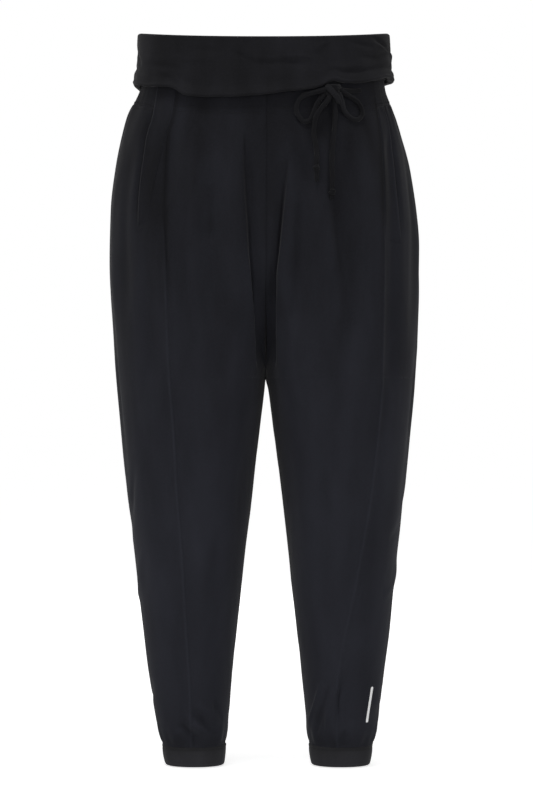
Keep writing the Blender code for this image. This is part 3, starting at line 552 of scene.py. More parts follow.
def crease_relief(ring, arc):
    """Finer creases: each sinks or raises the cloth near its line, uneven along its length."""
    total = np.zeros(len(arc))
    round_leg = (arc - ring.seam)[:, None]
    for number, (side, kind, depth, width, heights, across) in enumerate(CREASE_LINES):
        reach = (8 if kind == "lap" else 2.5) * width
        if side != ring.side or not heights.min() - reach < ring.z < heights.max() + reach:
            continue
        run, fall = np.diff(across), np.diff(heights)
        past = (round_leg - across[:-1]) * run + (ring.z - heights[:-1]) * fall
        part = np.clip(past / (run * run + fall * fall), 0, 1)
        gap = round_leg - across[:-1] - part * run
        away = np.hypot(gap, ring.z - heights[:-1] - part * fall)
        nearest = away.argmin(axis=1)[:, None]
        away, gap, part = (np.take_along_axis(v, nearest, 1)[:, 0] for v in (away, gap, part))
        share = (nearest[:, 0] + part) / (CREASE_STEPS - 1)
        uneven = np.sin(np.pi * share) ** 0.7 * (1 + 0.3 * np.sin(9 * share + number))
        apart = away / (width * (1 + 0.35 * np.sin(7 * share + 2 * number)))
        if kind == "lap":
            apart *= np.sign(gap)
            shape = np.tanh(apart) * np.exp(-((apart / 6) ** 2))
        else:
            shape = np.exp(-apart * apart)
        total += depth * uneven * shape
    return total


def uneven_share(share, seed):
    """Gathers are never evenly spaced: a share of the way along, slightly shifted."""
    return share + 0.012 * np.sin(21 * share + seed) + 0.007 * np.sin(47 * share + 2 * seed)


def gather_relief(ring, arc, count, height):
    """Ripples of the elastic, from the pocket or the side seam to the centre back."""
    start = pocket_edges(ring)[1] if ring.side == "right" else ring.seam
    share = (arc - start) / (ring.length - start)
    ends = fade(share, -0.03, 0.25) * fade(share, 1.0, 0.97)
    seed = 1.3 if ring.side == "right" else 4.1
    wave = (1 + np.cos(2 * np.pi * count * uneven_share(share, seed))) / 2
    vary = 0.8 + 0.3 * np.sin(31 * share + seed) * np.sin(13 * share)
    return height * ends * vary * wave


def hang(ring, arc):
    """The slight waviness that jersey has everywhere, longer down the leg than across it."""
    seed = 3.0 if ring.side == "right" else 11.0
    round_leg = (arc - ring.seam).tolist()
    broad = [noise.noise(Vector((a / 34, ring.z / 190, seed))) for a in round_leg]
    small = [noise.noise(Vector((a / 13, ring.z / 75, seed + 5))) for a in round_leg]
    return 0.9 * np.array(broad) + 0.28 * np.array(small)


def gather_at_hem(ring, arc):
    """The leg is fuller than its cuff, so it is eased in with shallow, uneven ripples."""
    up = ring.z - HEM_Z
    reach = fade(up, 42, 6) * fade(up, 0, 9)
    turn = arc / ring.length
    wave = np.cos(2 * np.pi * 9 * turn) + 0.5 * np.cos(2 * np.pi * 17 * turn + 2)
    fine = np.cos(2 * np.pi * 29 * uneven_share(turn, 2.0)) * fade(up, 18, 3)
    drawn_in = HEM_DRAWN_IN * fade(up, HEM_DRAWN_OVER, 0)
    return 0.9 * reach * wave + 0.12 * fine - drawn_in + swells(up, STITCH_GROOVE)


def mouth_hollow(ring, arc):
    """Behind a pocket's mouth edge the cloth falls back into the pocket."""
    bottom = POCKET_ENDS_Z[ring.side]
    if ring.z < bottom or ring.z > CASING_SEAM_Z:
        return 0
    strength = fade(ring.z, bottom, bottom + 60) * fade(ring.z, CASING_SEAM_Z, -30)
    return strength * swells(arc - pocket_edges(ring)[1], MOUTH_HOLLOW)


def seam_ridge(ring, arc):
    """The allowances raise the cloth along a side seam, and it falls away softly behind them."""
    return swells(arc - ring.seam, SEAM_RIDGE) * (0.3 + 0.7 * fade(ring.z, LOW_FROM, LOW_TO))


def painted_light_on_leg(ring, arc):
    """How much paler or darker the cloth is painted: a painted highlight on the raised edge of a side
    seam, in uneven lengths, and painted shade beside the pocket band, behind the pocket's mouth, in the
    bow's shadow, in the creases' troughs and just above the cuff; the creases' crests get a faint painted
    highlight."""
    low = fade(ring.z, LOW_FROM, LOW_TO)
    patchy = 0.75 + 0.5 * noise.noise(Vector((ring.z / 31, 7.0, 1.0 if ring.side == "left" else 4.0)))
    worn = low * patchy * swells(arc - ring.seam, SEAM_PAINTED_HIGHLIGHT)
    worn = worn + (1 - low) * swells(arc - ring.seam, BESIDE_POCKET_PAINTED_SHADE)
    in_mouth = fade(ring.z, POCKET_ENDS_Z[ring.side], POCKET_ENDS_Z[ring.side] + 50)
    worn = worn + in_mouth * swells(arc - pocket_edges(ring)[1], MOUTH_PAINTED_SHADE)
    # The bow's painted shadow falls on the wearer's left front panel.
    if ring.side == "left":
        height, from_centre = BEHIND_BOW
        away = np.hypot(arc - ring.arc_at(from_centre), ring.z - height)
        worn = worn - BOW_PAINTED_SHADOW * np.exp(-((away / BOW_REACH) ** 2))
    worn = worn + CREASE_PAINTED_SHADING * np.clip(crease_relief(ring, arc) / 2, -1, 0.15)
    return worn + swells(ring.z - HEM_Z, HEM_PAINTED_SHADE)


def inner_fullness(ring, arc):
    """The cloth swells on the inner front of each leg, above and below the crotch."""
    swell = fade(ring.z, -110, -300) * fade(ring.z, -760, -520)
    away = arc - ring.past_inner(FULLEST)
    return FULLNESS * swell * np.exp(-((away / np.where(away < 0, 15, 30)) ** 2))


def crotch_hollow(ring, arc):
    """Between the two creases the front falls back in a flat hollow, down to the crotch."""
    deep = HOLLOW * fade(ring.z, -218, -290) * fade(ring.z, -364, -325)
    edge = ring.arc_at(float(smooth_between(CENTRE_CREASES[ring.side], ring.z)))
    return -deep * (fade(arc, edge + 1.5, edge - 2.5) + 0.18 * np.exp(-((arc / 1.7) ** 2)))


def level_at_centre(ring, arc, relief):
    """Where both halves are sewn together they lie level, so the centre seam hardly shows."""
    if ring.z <= CROTCH_Z:
        return relief
    reach = float(np.interp(ring.z, (-345, -210), (2.0, 11.0)))
    return relief * fade(arc, 0, reach) * fade(ring.length - arc, 0, reach)


def leg_relief(ring, arc, hollow=True):
    """How far folds, creases and gathers raise a leg panel from the form."""
    relief = fold_relief(ring, arc) + crease_relief(ring, arc) + seam_ridge(ring, arc)
    relief += hang(ring, arc) + gather_at_hem(ring, arc) + inner_fullness(ring, arc)
    relief = level_at_centre(ring, arc, relief) + crotch_hollow(ring, arc)
    if ring.z < CASING_SEAM_Z:
        reach = fade(ring.z, -100, CASING_SEAM_Z)
        behind = arc > ring.seam
        relief += behind * gather_relief(ring, arc, PANEL_GATHERS, 2.7 * reach)
        relief += behind * (mouth_hollow(ring, arc) if hollow else 0)
    return relief


def edge_to_edge(start, end, stretches):
    """Arc lengths and depths of a panel's columns between two seams, with both edges turned.
    Stretches give how many columns share each length, from the first seam; one may be None."""
    offsets, sinks = np.array(TURNED_EDGE).T
    first, last = start + offsets[-1], end - offsets[-1]
    rest = last - first - sum(length or 0 for length, _ in stretches)
    middle, at = [], first
    for length, columns in stretches:
        reach = rest if length is None else length
        middle.append(np.linspace(at, at + reach, columns + 1)[:-1])
        at += reach
    middle = np.concatenate(middle)[1:]
    arc = np.concatenate([start + offsets, middle, (end - offsets)[::-1]])
    return arc, np.concatenate([sinks, np.zeros(len(middle)), sinks[::-1]])


def turned_heights(top, bottom, step, at_top=True, at_bottom=True):
    """Heights and depths of a panel's rows, closer together at the crotch and turned edges."""
    heights = [top]
    while heights[-1] > bottom:
        near_crotch = abs(heights[-1] - CROTCH_Z + 8) < 26
        heights.append(heights[-1] - (0.4 * step if near_crotch else step))
    inner = [z for z in heights if bottom + 3 < z < (top - 3 if at_top else top + 1)]
    upper = [(top - offset, sink) for offset, sink in TURNED_EDGE] if at_top else []
    lower = [(bottom + offset, sink) for offset, sink in TURNED_EDGE[::-1]]
    return upper + [(z, 0.0) for z in inner] + (lower if at_bottom else [(bottom, 0.0)])


def finish_piece(name, bm, material, thickness=None):
    """Turns a bmesh into an object with its material, and its wall where it is a single sheet."""
    mesh = bpy.data.meshes.new(name)
    bm.to_mesh(mesh)
    bm.free()
    mesh.shade_smooth()
    piece = bpy.data.objects.new(name, mesh)
    bpy.context.scene.collection.objects.link(piece)
    mesh.materials.append(material)
    if thickness:
        piece.vertex_groups.new(name="wall")
        wall = piece.modifiers.new("wall", "SOLIDIFY")
        wall.thickness = thickness * MM
        wall.offset = -1
        wall.vertex_group = "wall"
        wall.thickness_vertex_group = 0.1
    return piece


def set_grain(bm, grain, full_turn=None):
    """Gives each corner its place along the cloth's grain. A closed piece joins after full_turn."""
    uv = bm.loops.layers.uv.new("grain")
    for face in bm.faces:
        places = [grain[loop.vert] for loop in face.loops]
        seam = full_turn and max(p[0] for p in places) - min(p[0] for p in places) > full_turn / 2
        for loop, (across, along) in zip(face.loops, places):
            shift = full_turn if seam and across < full_turn / 2 else 0
            loop[uv].uv = (across + shift, along)


def flat_net(columns, rows):
    """A flat net whose points lie one unit apart, and its layers for the wall and for painted highlights
    and shade.
    """
    bm = bmesh.new()
    bmesh.ops.create_grid(bm, x_segments=columns, y_segments=rows, size=0.5)
    bmesh.ops.translate(bm, verts=bm.verts, vec=(0.5, 0.5, 0))
    bmesh.ops.scale(bm, vec=(columns, rows, 1), verts=bm.verts)
    return bm, bm.verts.layers.deform.verify(), bm.verts.layers.float.new("worn")


def lay_on_leg(name, side, rows, line, relief, thickness=CLOTH, painted_light_at=painted_light_on_leg):
    """A sheet of cloth laid on one leg. Its rows are heights and depths; line gives the arc
    lengths and depths of its columns on a ring, relief how far the cloth stands out, and the
    last function how much paler or darker its colour is painted, as painted highlights and shade."""
    bm, wall, worn = flat_net(len(line(ring_at(side, rows[0][0]))[0]) - 1, len(rows) - 1)
    by_row = {}
    for vert in bm.verts:
        by_row.setdefault(round(vert.co.y), []).append(vert)
    grain = {}
    for row, verts in by_row.items():
        z, row_sink = rows[row]
        ring = ring_at(side, z)
        order = np.array([round(vert.co.x) for vert in verts])
        arc, sink = (values[order] for values in line(ring))
        sink = np.maximum(sink, row_sink)
        places = ring.points(arc, relief(ring, arc), sink)
        for vert, place, across, depth, painted_paleness in zip(verts, places, arc, sink, painted_light_at(ring, arc)):
            vert.co = place
            vert[worn] = painted_paleness
            vert[wall][0] = ALLOWANCE_WALL if depth > ALLOWANCE_FROM else 1.0
            grain[vert] = (across * MM, z * MM)
    set_grain(bm, grain)
    if side == "left":
        bmesh.ops.reverse_faces(bm, faces=bm.faces)
    return finish_piece(name, bm, JERSEY, thickness)


# Two rows of stitches run round the waist, one on each side of the casing's seam, and two round
# each ankle. Each stitch is a short, slightly glossy length of polyester thread.
STITCH_PITCH, STITCH_LENGTH, STITCH_THICK = 2.9, 2.5, 0.5
STITCH_CLEAR = 1.5  # from a crossing seam to the first stitch
WAIST_STITCHES = (CASING_SEAM_Z + 3.4, CASING_SEAM_Z - 3.2)
THREAD = new_finish(
    "black_polyester_thread",
    {"Base Color": linear("#151516"), "Roughness": 0.6, "Specular IOR Level": 0.12},
)


def stitch_row(side, z, reach, relief):
    """Points a stitch apart along one ring, on the cloth, between the two ends of its reach."""
    ring = ring_at(side, z)
    arc = np.arange(*reach(ring), STITCH_PITCH)
    return ring.points(arc, relief(ring, arc) + STITCH_THICK / 5)


def sew(name, rows):
    """One object with a stitch between each two points of every row."""
    bm = bmesh.new()
    for row in rows:
        for a, b in zip(row, row[1:]):
            start, end = Vector(a), Vector(b)
            turn = (end - start).to_track_quat("Z", "Y").to_matrix().to_4x4()
            size = Matrix.Diagonal((STITCH_THICK / 2, STITCH_THICK / 2, STITCH_LENGTH / 2, 1 / MM))
            place = Matrix.Translation((start + end) / 2) @ turn @ (size * MM)
            bmesh.ops.create_uvsphere(bm, u_segments=6, v_segments=4, radius=1, matrix=place)
    stitches = finish_piece(name, bm, THREAD)
    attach(stitches, "root")
    return stitches


# A slim reflective bar with round ends is heat-pressed on the outer front of the left ankle.
REFLECTOR = ((-770.5, 138.4), (-817.5, 131.2))  # its ends: height, distance from the centre line
REFLECTOR_WIDE, REFLECTOR_THICK = 4.2, 0.3
REFLECTOR_ENDS = (0.0, 0.15, 0.4, 0.75, 1.2, 1.65, 2.1)  # rows of points round an end
SILVER = new_finish("reflective_transfer", {"Base Color": linear("#fbfbfb"), "Roughness": 0.35})


def reflector_line(ring):
    """Arc lengths across the bar at one height, drawn in to its round ends."""
    (top, from_top), (bottom, from_bottom) = REFLECTOR
    share = (top - ring.z) / (top - bottom)
    half = REFLECTOR_WIDE / 2
    past = max(0.0, half - min(top - ring.z, ring.z - bottom))
    wide = math.sqrt(max(0.0, half * half - past * past)) + 0.05
    middle = ring.arc_at(from_top + (from_bottom - from_top) * share)
    return middle + wide * np.linspace(-1, 1, 9), np.zeros(9)


def reflector_relief(ring, arc):
    return leg_relief(ring, arc) + REFLECTOR_THICK


def lay_reflector():
    (top, _), (bottom, _) = REFLECTOR
    ends = np.array(REFLECTOR_ENDS)
    heights = np.concatenate([top - ends, np.linspace(top - 3, bottom + 3, 20), (bottom + ends)[::-1]])
    rows = [(float(z), 0.0) for z in heights]
    bar = lay_on_leg(
        "reflective_bar", "left", rows, reflector_line, reflector_relief, REFLECTOR_THICK
    )
    bar.data.materials[0] = SILVER
    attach(bar, "root")
    return bar


ROW_STEP = 2.7


def front_line(ring):
    """The columns lie closest where the panel is folded most, and beside its side seam."""
    folded = min(ring.past_inner(38), ring.seam - 24)
    return edge_to_edge(0, ring.seam, ((folded, 44), (None, 30), (10, 9)))


def back_line(ring):
    return edge_to_edge(ring.seam, ring.length, ((10, 9), (42, 22), (None, 84)))


def across_front(ring):
    return STITCH_CLEAR, ring.seam - STITCH_CLEAR


def across_back(ring):
    return ring.seam + STITCH_CLEAR, ring.length - STITCH_CLEAR


def behind_mouth(ring):
    return pocket_edges(ring)[1] + 2, ring.length - STITCH_CLEAR


for side in ("right", "left"):
    front_rows = turned_heights(WAIST_SEAM_Z, HEM_Z, ROW_STEP, at_top=False)
    back_rows = turned_heights(CASING_SEAM_Z - SEAM_GAP, HEM_Z, ROW_STEP)
    front = lay_on_leg(f"front_{side}", side, front_rows, front_line, leg_relief)
    back = lay_on_leg(f"back_{side}", side, back_rows, back_line, leg_relief)
    for piece, node in ((front, f"front_panel_{side}"), (back, f"back_panel_{side}")):
        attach(piece, "root")
        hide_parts(node)
    ankle = HEM_Z + STITCH_IN
    front_seams = [stitch_row(side, z, across_front, leg_relief) for z in (*WAIST_STITCHES, ankle)]
    back_seams = [
        stitch_row(side, WAIST_STITCHES[1], behind_mouth, leg_relief),
        stitch_row(side, ankle, across_back, leg_relief),
    ]
    on_front = [sew(f"stitches_front_{side}", front_seams)]
    on_back = [sew(f"stitches_back_{side}", back_seams)]
    if side == "left":
        on_back.append(lay_reflector())

# ---------------------------------------------------------------- the pocket bands
# A doubled strip of the same jersey lies along each slanted pocket mouth, topstitched to the
# panel on its inner side and rounded where the hand goes in.
POCKET_CLOTH = 1.2
POCKET_LIFT = SEAM_GAP + POCKET_CLOTH
MOUTH_STITCH_IN, INNER_STITCH_IN = 5.5, 3.0  # from the mouth and the inner edge to the topstitching
# Swells across the band, from its mouth edge inwards: the rounded edge, the groove that the
# topstitching draws, and the painted highlight on the rounded edge, where it catches the light.
MOUTH_ROLL = ((3.4, 3.4, 1.3),)
MOUTH_GROOVE = ((MOUTH_STITCH_IN, 0.9, -0.45),)
MOUTH_PAINTED_HIGHLIGHT = ((2.0, 3.5, 0.15),)
# The band's turned edges: how far from each edge its columns lie, and how deep.
STRIP_INNER = ((0.0, 1.35), (0.4, 0.95), (1.0, 0.5), (1.8, 0.18), (2.8, 0.0))
STRIP_MOUTH = ((0.0, 3.4), (0.1, 2.1), (0.5, 1.2), (1.2, 0.6), (2.1, 0.22), (3.3, 0.0))
STRIP_FOOT = (0.2, 0.7, 1.9)  # and how deep the last rows at its foot


def pocket_line(ring):
    """Arc lengths and depths across a pocket band, from its inner edge to the mouth."""
    inner, mouth = pocket_edges(ring)
    middle = np.linspace(inner + 3.4, mouth - 4.0, 17)
    left, left_sink = np.array(STRIP_INNER).T
    right, right_sink = np.array(STRIP_MOUTH[::-1]).T
    arc = np.concatenate([inner + left, middle, mouth - right])
    return arc, np.concatenate([left_sink, np.zeros(len(middle)), right_sink])


def pocket_relief(ring, arc):
    inner, mouth = pocket_edges(ring)
    end = POCKET_ENDS_Z[ring.side]
    flat = 1 - fade(ring.z, end, end + 70)
    if ring.side == "left":  # its top is caught in the casing's seam
        flat = max(flat, 1 - fade(ring.z, CASING_SEAM_Z, CASING_SEAM_Z - 18))
    rise = POCKET_LIFT + swells(mouth - arc, MOUTH_ROLL) * (1 - flat) + swells(mouth - arc, MOUTH_GROOVE)
    pressed = POCKET_CLOTH * flat * fade(arc, mouth - 3, inner + 6)
    return leg_relief(ring, arc, hollow=False) + rise - pressed


def pocket_painted_highlight(ring, arc):
    """The rounded mouth edge gets a painted highlight, where it catches the light."""
    end = POCKET_ENDS_Z[ring.side]
    return swells(pocket_edges(ring)[1] - arc, MOUTH_PAINTED_HIGHLIGHT) * fade(ring.z, end, end + 60)


for side, top in (("right", WAIST_SEAM_Z), ("left", CASING_SEAM_Z - SEAM_GAP)):
    rows = turned_heights(top, POCKET_ENDS_Z[side], 2.4, at_top=False, at_bottom=False)
    rows[-3:] = [(z, sink) for (z, _), sink in zip(rows[-3:], STRIP_FOOT)]
    band = lay_on_leg(
        f"pocket_edge_{side}", side, rows, pocket_line, pocket_relief, POCKET_CLOTH, pocket_painted_highlight
    )
    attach(band, "root")
    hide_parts(f"pocket_band_{side}")
    routes = ([], [])
    for z in np.arange(top - 3, POCKET_ENDS_Z[side] + 30, -STITCH_PITCH):
        ring = ring_at(side, z)
        inner, mouth = pocket_edges(ring)
        arc = np.array([mouth - MOUTH_STITCH_IN, inner + INNER_STITCH_IN])
        for route, place in zip(routes, ring.points(arc, pocket_relief(ring, arc) + STITCH_THICK / 5)):
            route.append(place)
    sewing = [sew(f"stitches_pocket_{side}", routes)]

# ---------------------------------------------------------------- the casing
# A strip of jersey folded over elastic runs from one side seam round the back to the other. It
# was sewn on stretched, so it draws up in small upright gathers, and they run on into the legs.
CASING_WALL = 3.0
CASING_GATHER = 1.1
CASING_COLUMNS = 250  # to the centre back, on each side
CASING_ROWS, CASING_ROW_STEP = 19, 1.65
CASING_ALLOWANCE = 0.4  # share of the wall's thickness in the edge turned in at the legs


def casing_relief(ring, arc):
    fine = 0.35 * gather_relief(ring, arc, 2 * GATHERS + 5, CASING_GATHER)
    return 0.75 * gather_relief(ring, arc, GATHERS, CASING_GATHER) + fine


def across_casing(ring):
    first = pocket_edges(ring)[1] if ring.side == "right" else ring.seam
    return first + 2, ring.length - STITCH_CLEAR


casing_rows = [(WAIST_SEAM_Z - CASING_ROW_STEP * i, 0.0) for i in range(CASING_ROWS)]
casing_rows += [(CASING_SEAM_Z + offset, sink) for offset, sink in TURNED_EDGE[::-1] if sink < 3]
bm, wall, _ = flat_net(2 * CASING_COLUMNS, len(casing_rows) - 1)
grain = {}
for vert in bm.verts:
    from_back = round(vert.co.x) - CASING_COLUMNS
    side = "left" if from_back > 0 else "right"
    height, sink = casing_rows[round(vert.co.y)]
    ring = ring_at(side, height)
    first = ring.seam + SEAM_GAP / 2
    arc = np.array([first + (ring.length - first) * (1 - abs(from_back) / CASING_COLUMNS)])
    x, y, z = ring.points(arc, casing_relief(ring, arc) - sink)[0]
    vert.co = (x if from_back else 0, y, z)
    vert[wall][0] = 1.0 if sink < ALLOWANCE_FROM else CASING_ALLOWANCE
    grain[vert] = ((ring.length - arc[0]) * (1 if side == "left" else -1) * MM, height * MM)
set_grain(bm, grain)
casing = finish_piece("casing", bm, JERSEY, CASING_WALL)
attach(casing, "root")
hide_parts("waist_casing")
above_seam = [
    stitch_row(side, WAIST_STITCHES[0], across_casing, casing_relief) for side in ("right", "left")
]
sewing = [sew("stitches_casing", above_seam)]

# ---------------------------------------------------------------- the fold-over band
# A deep tube of the same jersey, doubled, is sewn to the waist and turned down outwards over
# the seam. Its lower edge is a soft bulky fold that rises over the bow and at both sides.
# Its lower edge: bearing from the centre front, height, and how much further it bulges out.
BAND_EDGE_COLUMNS = ("bearing", "z", "bulge")
BAND_EDGE = (
    (-180, -4, 0.5),
    (-140, -2, 1.0),
    (-112, 8, 2.0),
    (-90, 14, 3.8),
    (-61, 3, 1.5),
    (-47, 0, 0.5),
    (-41, -4, 0.0),
    (-35, -12, 0.0),
    (-30, -15, 0.0),
    (-20, -17, 0.0),
    (-5, -16, 0.0),
    (9, -10, 0.0),
    (20, -6, 0.0),
    (24, -2, 0.0),
    (30, 5, 0.0),
    (36, 3, 0.0),
    (42, 3, 0.0),
    (51, 7, 0.0),
    (66, 15, 0.0),
    (76, 18, 0.5),
    (90, 17, 1.6),
    (106, 17.5, 1.0),
    (122, 14.5, 0.8),
    (146, 3, 0.5),
    (180, -4, 0.5),
)
# Soft folds along the band: bearings of their ends, share of the way up at each end, depth and
# width as a share of the band's height.
BAND_FOLDS = (
    (-12, 22, 0.58, 0.50, -1.3, 0.08),
    (20, 52, 0.28, 0.40, 1.0, 0.09),
    (48, 84, 0.42, 0.74, -1.4, 0.09),
    (120, 168, 0.44, 0.56, -1.6, 0.09),
    (-160, -105, 0.62, 0.46, -1.6, 0.09),
    (-66, -32, 0.44, 0.40, -1.3, 0.06),
    (-48, -30, 0.30, 0.22, -1.1, 0.08),
    (-54, -42, 0.24, 0.19, -1.3, 0.028),
    (-51, -38, 0.17, 0.12, -1.2, 0.026),
    (-46, -18, 0.62, 0.66, 0.9, 0.05),
    (-34, -16, 0.82, 0.78, -0.9, 0.05),
    (-13, -3, 0.80, 0.58, -1.6, 0.030),
    (-6, 8, 0.60, 0.57, -1.0, 0.030),
    (-2, 5, 0.74, 0.70, -1.0, 0.035),
    (3, 17, 0.61, 0.53, -1.7, 0.030),
    (6, 20, 0.69, 0.63, 1.1, 0.035),
    (18, 30, 0.74, 0.98, 1.1, 0.05),
    (38, 58, 0.92, 0.76, -1.2, 0.045),
    (46, 60, 0.58, 0.54, -1.1, 0.035),
    (55, 82, 1.02, 0.55, -2.2, 0.055),
    (60, 92, 0.84, 0.44, 1.8, 0.055),
    (24, 58, 0.27, 0.27, -1.7, 0.040),
    (52, 96, 0.28, 0.25, -1.5, 0.045),
    (-92, -70, 0.72, 0.40, -1.6, 0.06),
    (-98, -62, 0.34, 0.24, -1.3, 0.05),
    (96, 140, 0.66, 0.40, -1.4, 0.06),
    (104, 150, 0.26, 0.20, 1.2, 0.05),
    (150, 180, 0.30, 0.26, -1.0, 0.06),
    (-180, -140, 0.26, 0.34, -1.0, 0.06),
    (-130, -96, 0.24, 0.34, -1.3, 0.05),
)
BAND_FOLDS_DEEP = 1.6
BAND_WALL = 3.0
BAND_GAP = 2.0  # between the inner and the outer limb
BAND_ROLL, BAND_ROLL_OUT = 2.6, 6.2  # the rolled edge's radius, and how far its middle stands out
BAND_COLUMNS = 288
BAND_GIRTH, BAND_POINT_STEP = 0.86, 0.0026  # in metres: all round, and between a section's points


def band_section():
    """The band's closed section, as (limb, share of its height, how far it stands out)."""
    inner_face, outer_limb = 0.8, 0.8 + BAND_GAP
    centre = (inner_face + outer_limb) / 2
    section = [("inner", share, inner_face - BAND_WALL) for share in np.linspace(0, 1, 5)]
    for angle in range(165, 10, -15):
        turn, reach = math.radians(angle), BAND_GAP / 2 + BAND_WALL
        section.append(("fold", math.sin(turn) * reach, centre + math.cos(turn) * reach))
    for share in np.linspace(1.0, 0.10, 26):
        bulk = float(np.interp(share, (0.1, 0.36, 0.68, 1.0), (2.0, 1.5, 0.7, 0.0)))
        section.append(("outer", share, outer_limb + BAND_WALL + bulk))
    for angle in range(40, -100, -20):
        turn = math.radians(angle)
        rise, out = BAND_ROLL * (1 + math.sin(turn)), BAND_ROLL_OUT + BAND_ROLL * math.cos(turn)
        section.append(("roll", rise, out))
    section += [("tuck", 0.1, 5.2), ("tuck", 0.4, 4.1), ("tuck", 1.0, 3.2)]
    section += [("back", share, outer_limb) for share in np.linspace(0.1, 1.0, 7)]
    for angle in (60, 90, 120):
        turn, reach = math.radians(angle), BAND_GAP / 2
        section.append(("fold", math.sin(turn) * reach, centre + math.cos(turn) * reach))
    return section + [("inner", share, inner_face) for share in (1.0, 0.5, 0.0)]


def waist_point(bearing, z, stand_out):
    """Points of the whole waist, by their bearing from the centre front."""
    right = from_table(FORM, FORM_COLUMNS, "right_out", z)
    left = from_table(FORM, FORM_COLUMNS, "left_out", z)
    out = np.where(bearing > 0, left, right)
    front = from_table(FORM, FORM_COLUMNS, "front", z)
    back = from_table(FORM, FORM_COLUMNS, "back", z)
    angle = np.radians(bearing)
    half, middle = (front + back) / 2, (back - front) / 2
    x = out * power(np.sin(angle), 2 / SQUARENESS)
    y = middle - half * power(np.cos(angle), 2 / SQUARENESS)
    nx = power(np.sin(angle), 2 - 2 / SQUARENESS) / out
    ny = -power(np.cos(angle), 2 - 2 / SQUARENESS) / half
    size = np.hypot(nx, ny)
    return x + nx / size * stand_out, y + ny / size * stand_out


def band_relief(bearing, share):
    """Soft folds along the outer limb of the band, and the slight waviness of its jersey."""
    total = np.zeros(len(bearing))
    for start, end, from_rise, to_rise, depth, width in BAND_FOLDS:
        along = np.clip((bearing - start) / (end - start), 0, 1)
        across = (share - (from_rise + (to_rise - from_rise) * along)) / width
        total += BAND_FOLDS_DEEP * depth * np.sin(np.pi * along) * np.exp(-across * across)
    wavy = [
        noise.noise(Vector((b / 16, s * 2.6, 2.0))) + 0.45 * noise.noise(Vector((b / 7, s * 8, 5.0)))
        for b, s in zip(bearing, share)
    ]
    # The edge is bulkier from the bow round to the side, and flares a little all over the front.
    bulky = 1.9 * fade(bearing, 24, 40) * fade(bearing, 120, 96) * fade(share, 0.27, 0.12)
    flare = 2.2 * fade(np.abs(bearing), 78, 56) * fade(share, 0.22, 0.03)
    return total + bulky + flare + 0.7 * np.array(wavy) * fade(share, 1.0, 0.85)


def turn_ring(section_size, columns):
    """A ring turned from a section that is drawn by its point numbers, so each point keeps its
    own. Gives the mesh, and each vertex's point number and turn in degrees."""
    bm = bmesh.new()
    loop = [bm.verts.new((1, 0, index)) for index in range(section_size)]
    loop += [bm.edges.new((loop[i - 1], loop[i])) for i in range(section_size)]
    full = {"axis": (0, 0, 1), "angle": 2 * math.pi, "steps": columns, "use_merge": True}
    bmesh.ops.spin(bm, geom=loop, cent=(0, 0, 0), **full)
    bmesh.ops.recalc_face_normals(bm, faces=bm.faces)
    index = np.array([round(v.co.z) for v in bm.verts])
    turn = np.degrees([math.atan2(v.co.y, v.co.x) for v in bm.verts])
    return bm, index, turn


section = band_section()
bm, index, bearing = turn_ring(len(section), BAND_COLUMNS)
limb, share, stand_out = (np.array(values)[index] for values in zip(*section))
shoulder = BAND_TOP_Z - BAND_GAP / 2 - BAND_WALL
dip = waist_dip(waist_point(bearing, np.full(len(bearing), BAND_TOP_Z), 0)[1], 0)
low = from_table(BAND_EDGE, BAND_EDGE_COLUMNS, "z", bearing) - dip
low += 0.5 * np.sin(np.radians(bearing) * 23) * np.sin(np.radians(bearing) * 7)
bulge = from_table(BAND_EDGE, BAND_EDGE_COLUMNS, "bulge", bearing)
heights = {
    "inner": WAIST_SEAM_Z + SEAM_GAP + (shoulder - WAIST_SEAM_Z - SEAM_GAP) * share,
    "fold": shoulder + share,
    "roll": low + share,
    "tuck": low + share * (1 + 5 * fade(np.abs(bearing), 66, 50)),
    "outer": low + (shoulder - low) * share,
    "back": low + (shoulder - low) * share,
}
z = np.select([limb == name for name in heights], list(heights.values()))
soft = band_relief(bearing, share) + bulge * fade(share, 0.5, 0.15)
soft_at_edge = band_relief(bearing, np.full(len(bearing), 0.05)) + bulge
stand_out = stand_out + np.select([limb == "roll", limb == "outer"], [soft_at_edge, soft], 0)
x, y = waist_point(bearing, np.clip(z, CASING_SEAM_Z, BAND_TOP_Z), stand_out)
grain = {}
for vert, place, turn, point in zip(bm.verts, np.stack([x, y, z + dip], axis=-1), bearing, index):
    vert.co = place * MM
    grain[vert] = (turn / 360 * BAND_GIRTH, point * BAND_POINT_STEP)
set_grain(bm, grain, full_turn=BAND_GIRTH)
bmesh.ops.recalc_face_normals(bm, faces=bm.faces)
# The band's copy of the jersey is painted a touch darker and greyer than the legs', as painted shade for
# how the band is lit.
BAND_JERSEY = jersey("band_black_jersey", "#161618", "#2c2c31")
fold_band = finish_piece("fold_over_band", bm, BAND_JERSEY)
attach(fold_band, "root")
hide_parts("waistband_fold")

# ---------------------------------------------------------------- the cuffs
# Each ankle cuff is a short doubled tube of the same jersey, firmer than the leg, sewn to the
# gathered hem with two rows of stitching.
CUFF = (  # the columns are those of the legs' form
    (HEM_Z, 135, 52, 140, 57, 34, 43),
    (-862, 134, 53, 139, 58, 33, 42),
    (CUFF_FOOT_Z, 131.4, 54, 137, 60, 31, 40),
)
CUFF_WALL = 3.0
CUFF_COLUMNS = 150
CUFF_GIRTH, CUFF_DEEP = 0.26, 0.026  # in metres
CUFF_RIPPLES, RIPPLE_HEIGHT = 13, 0.35
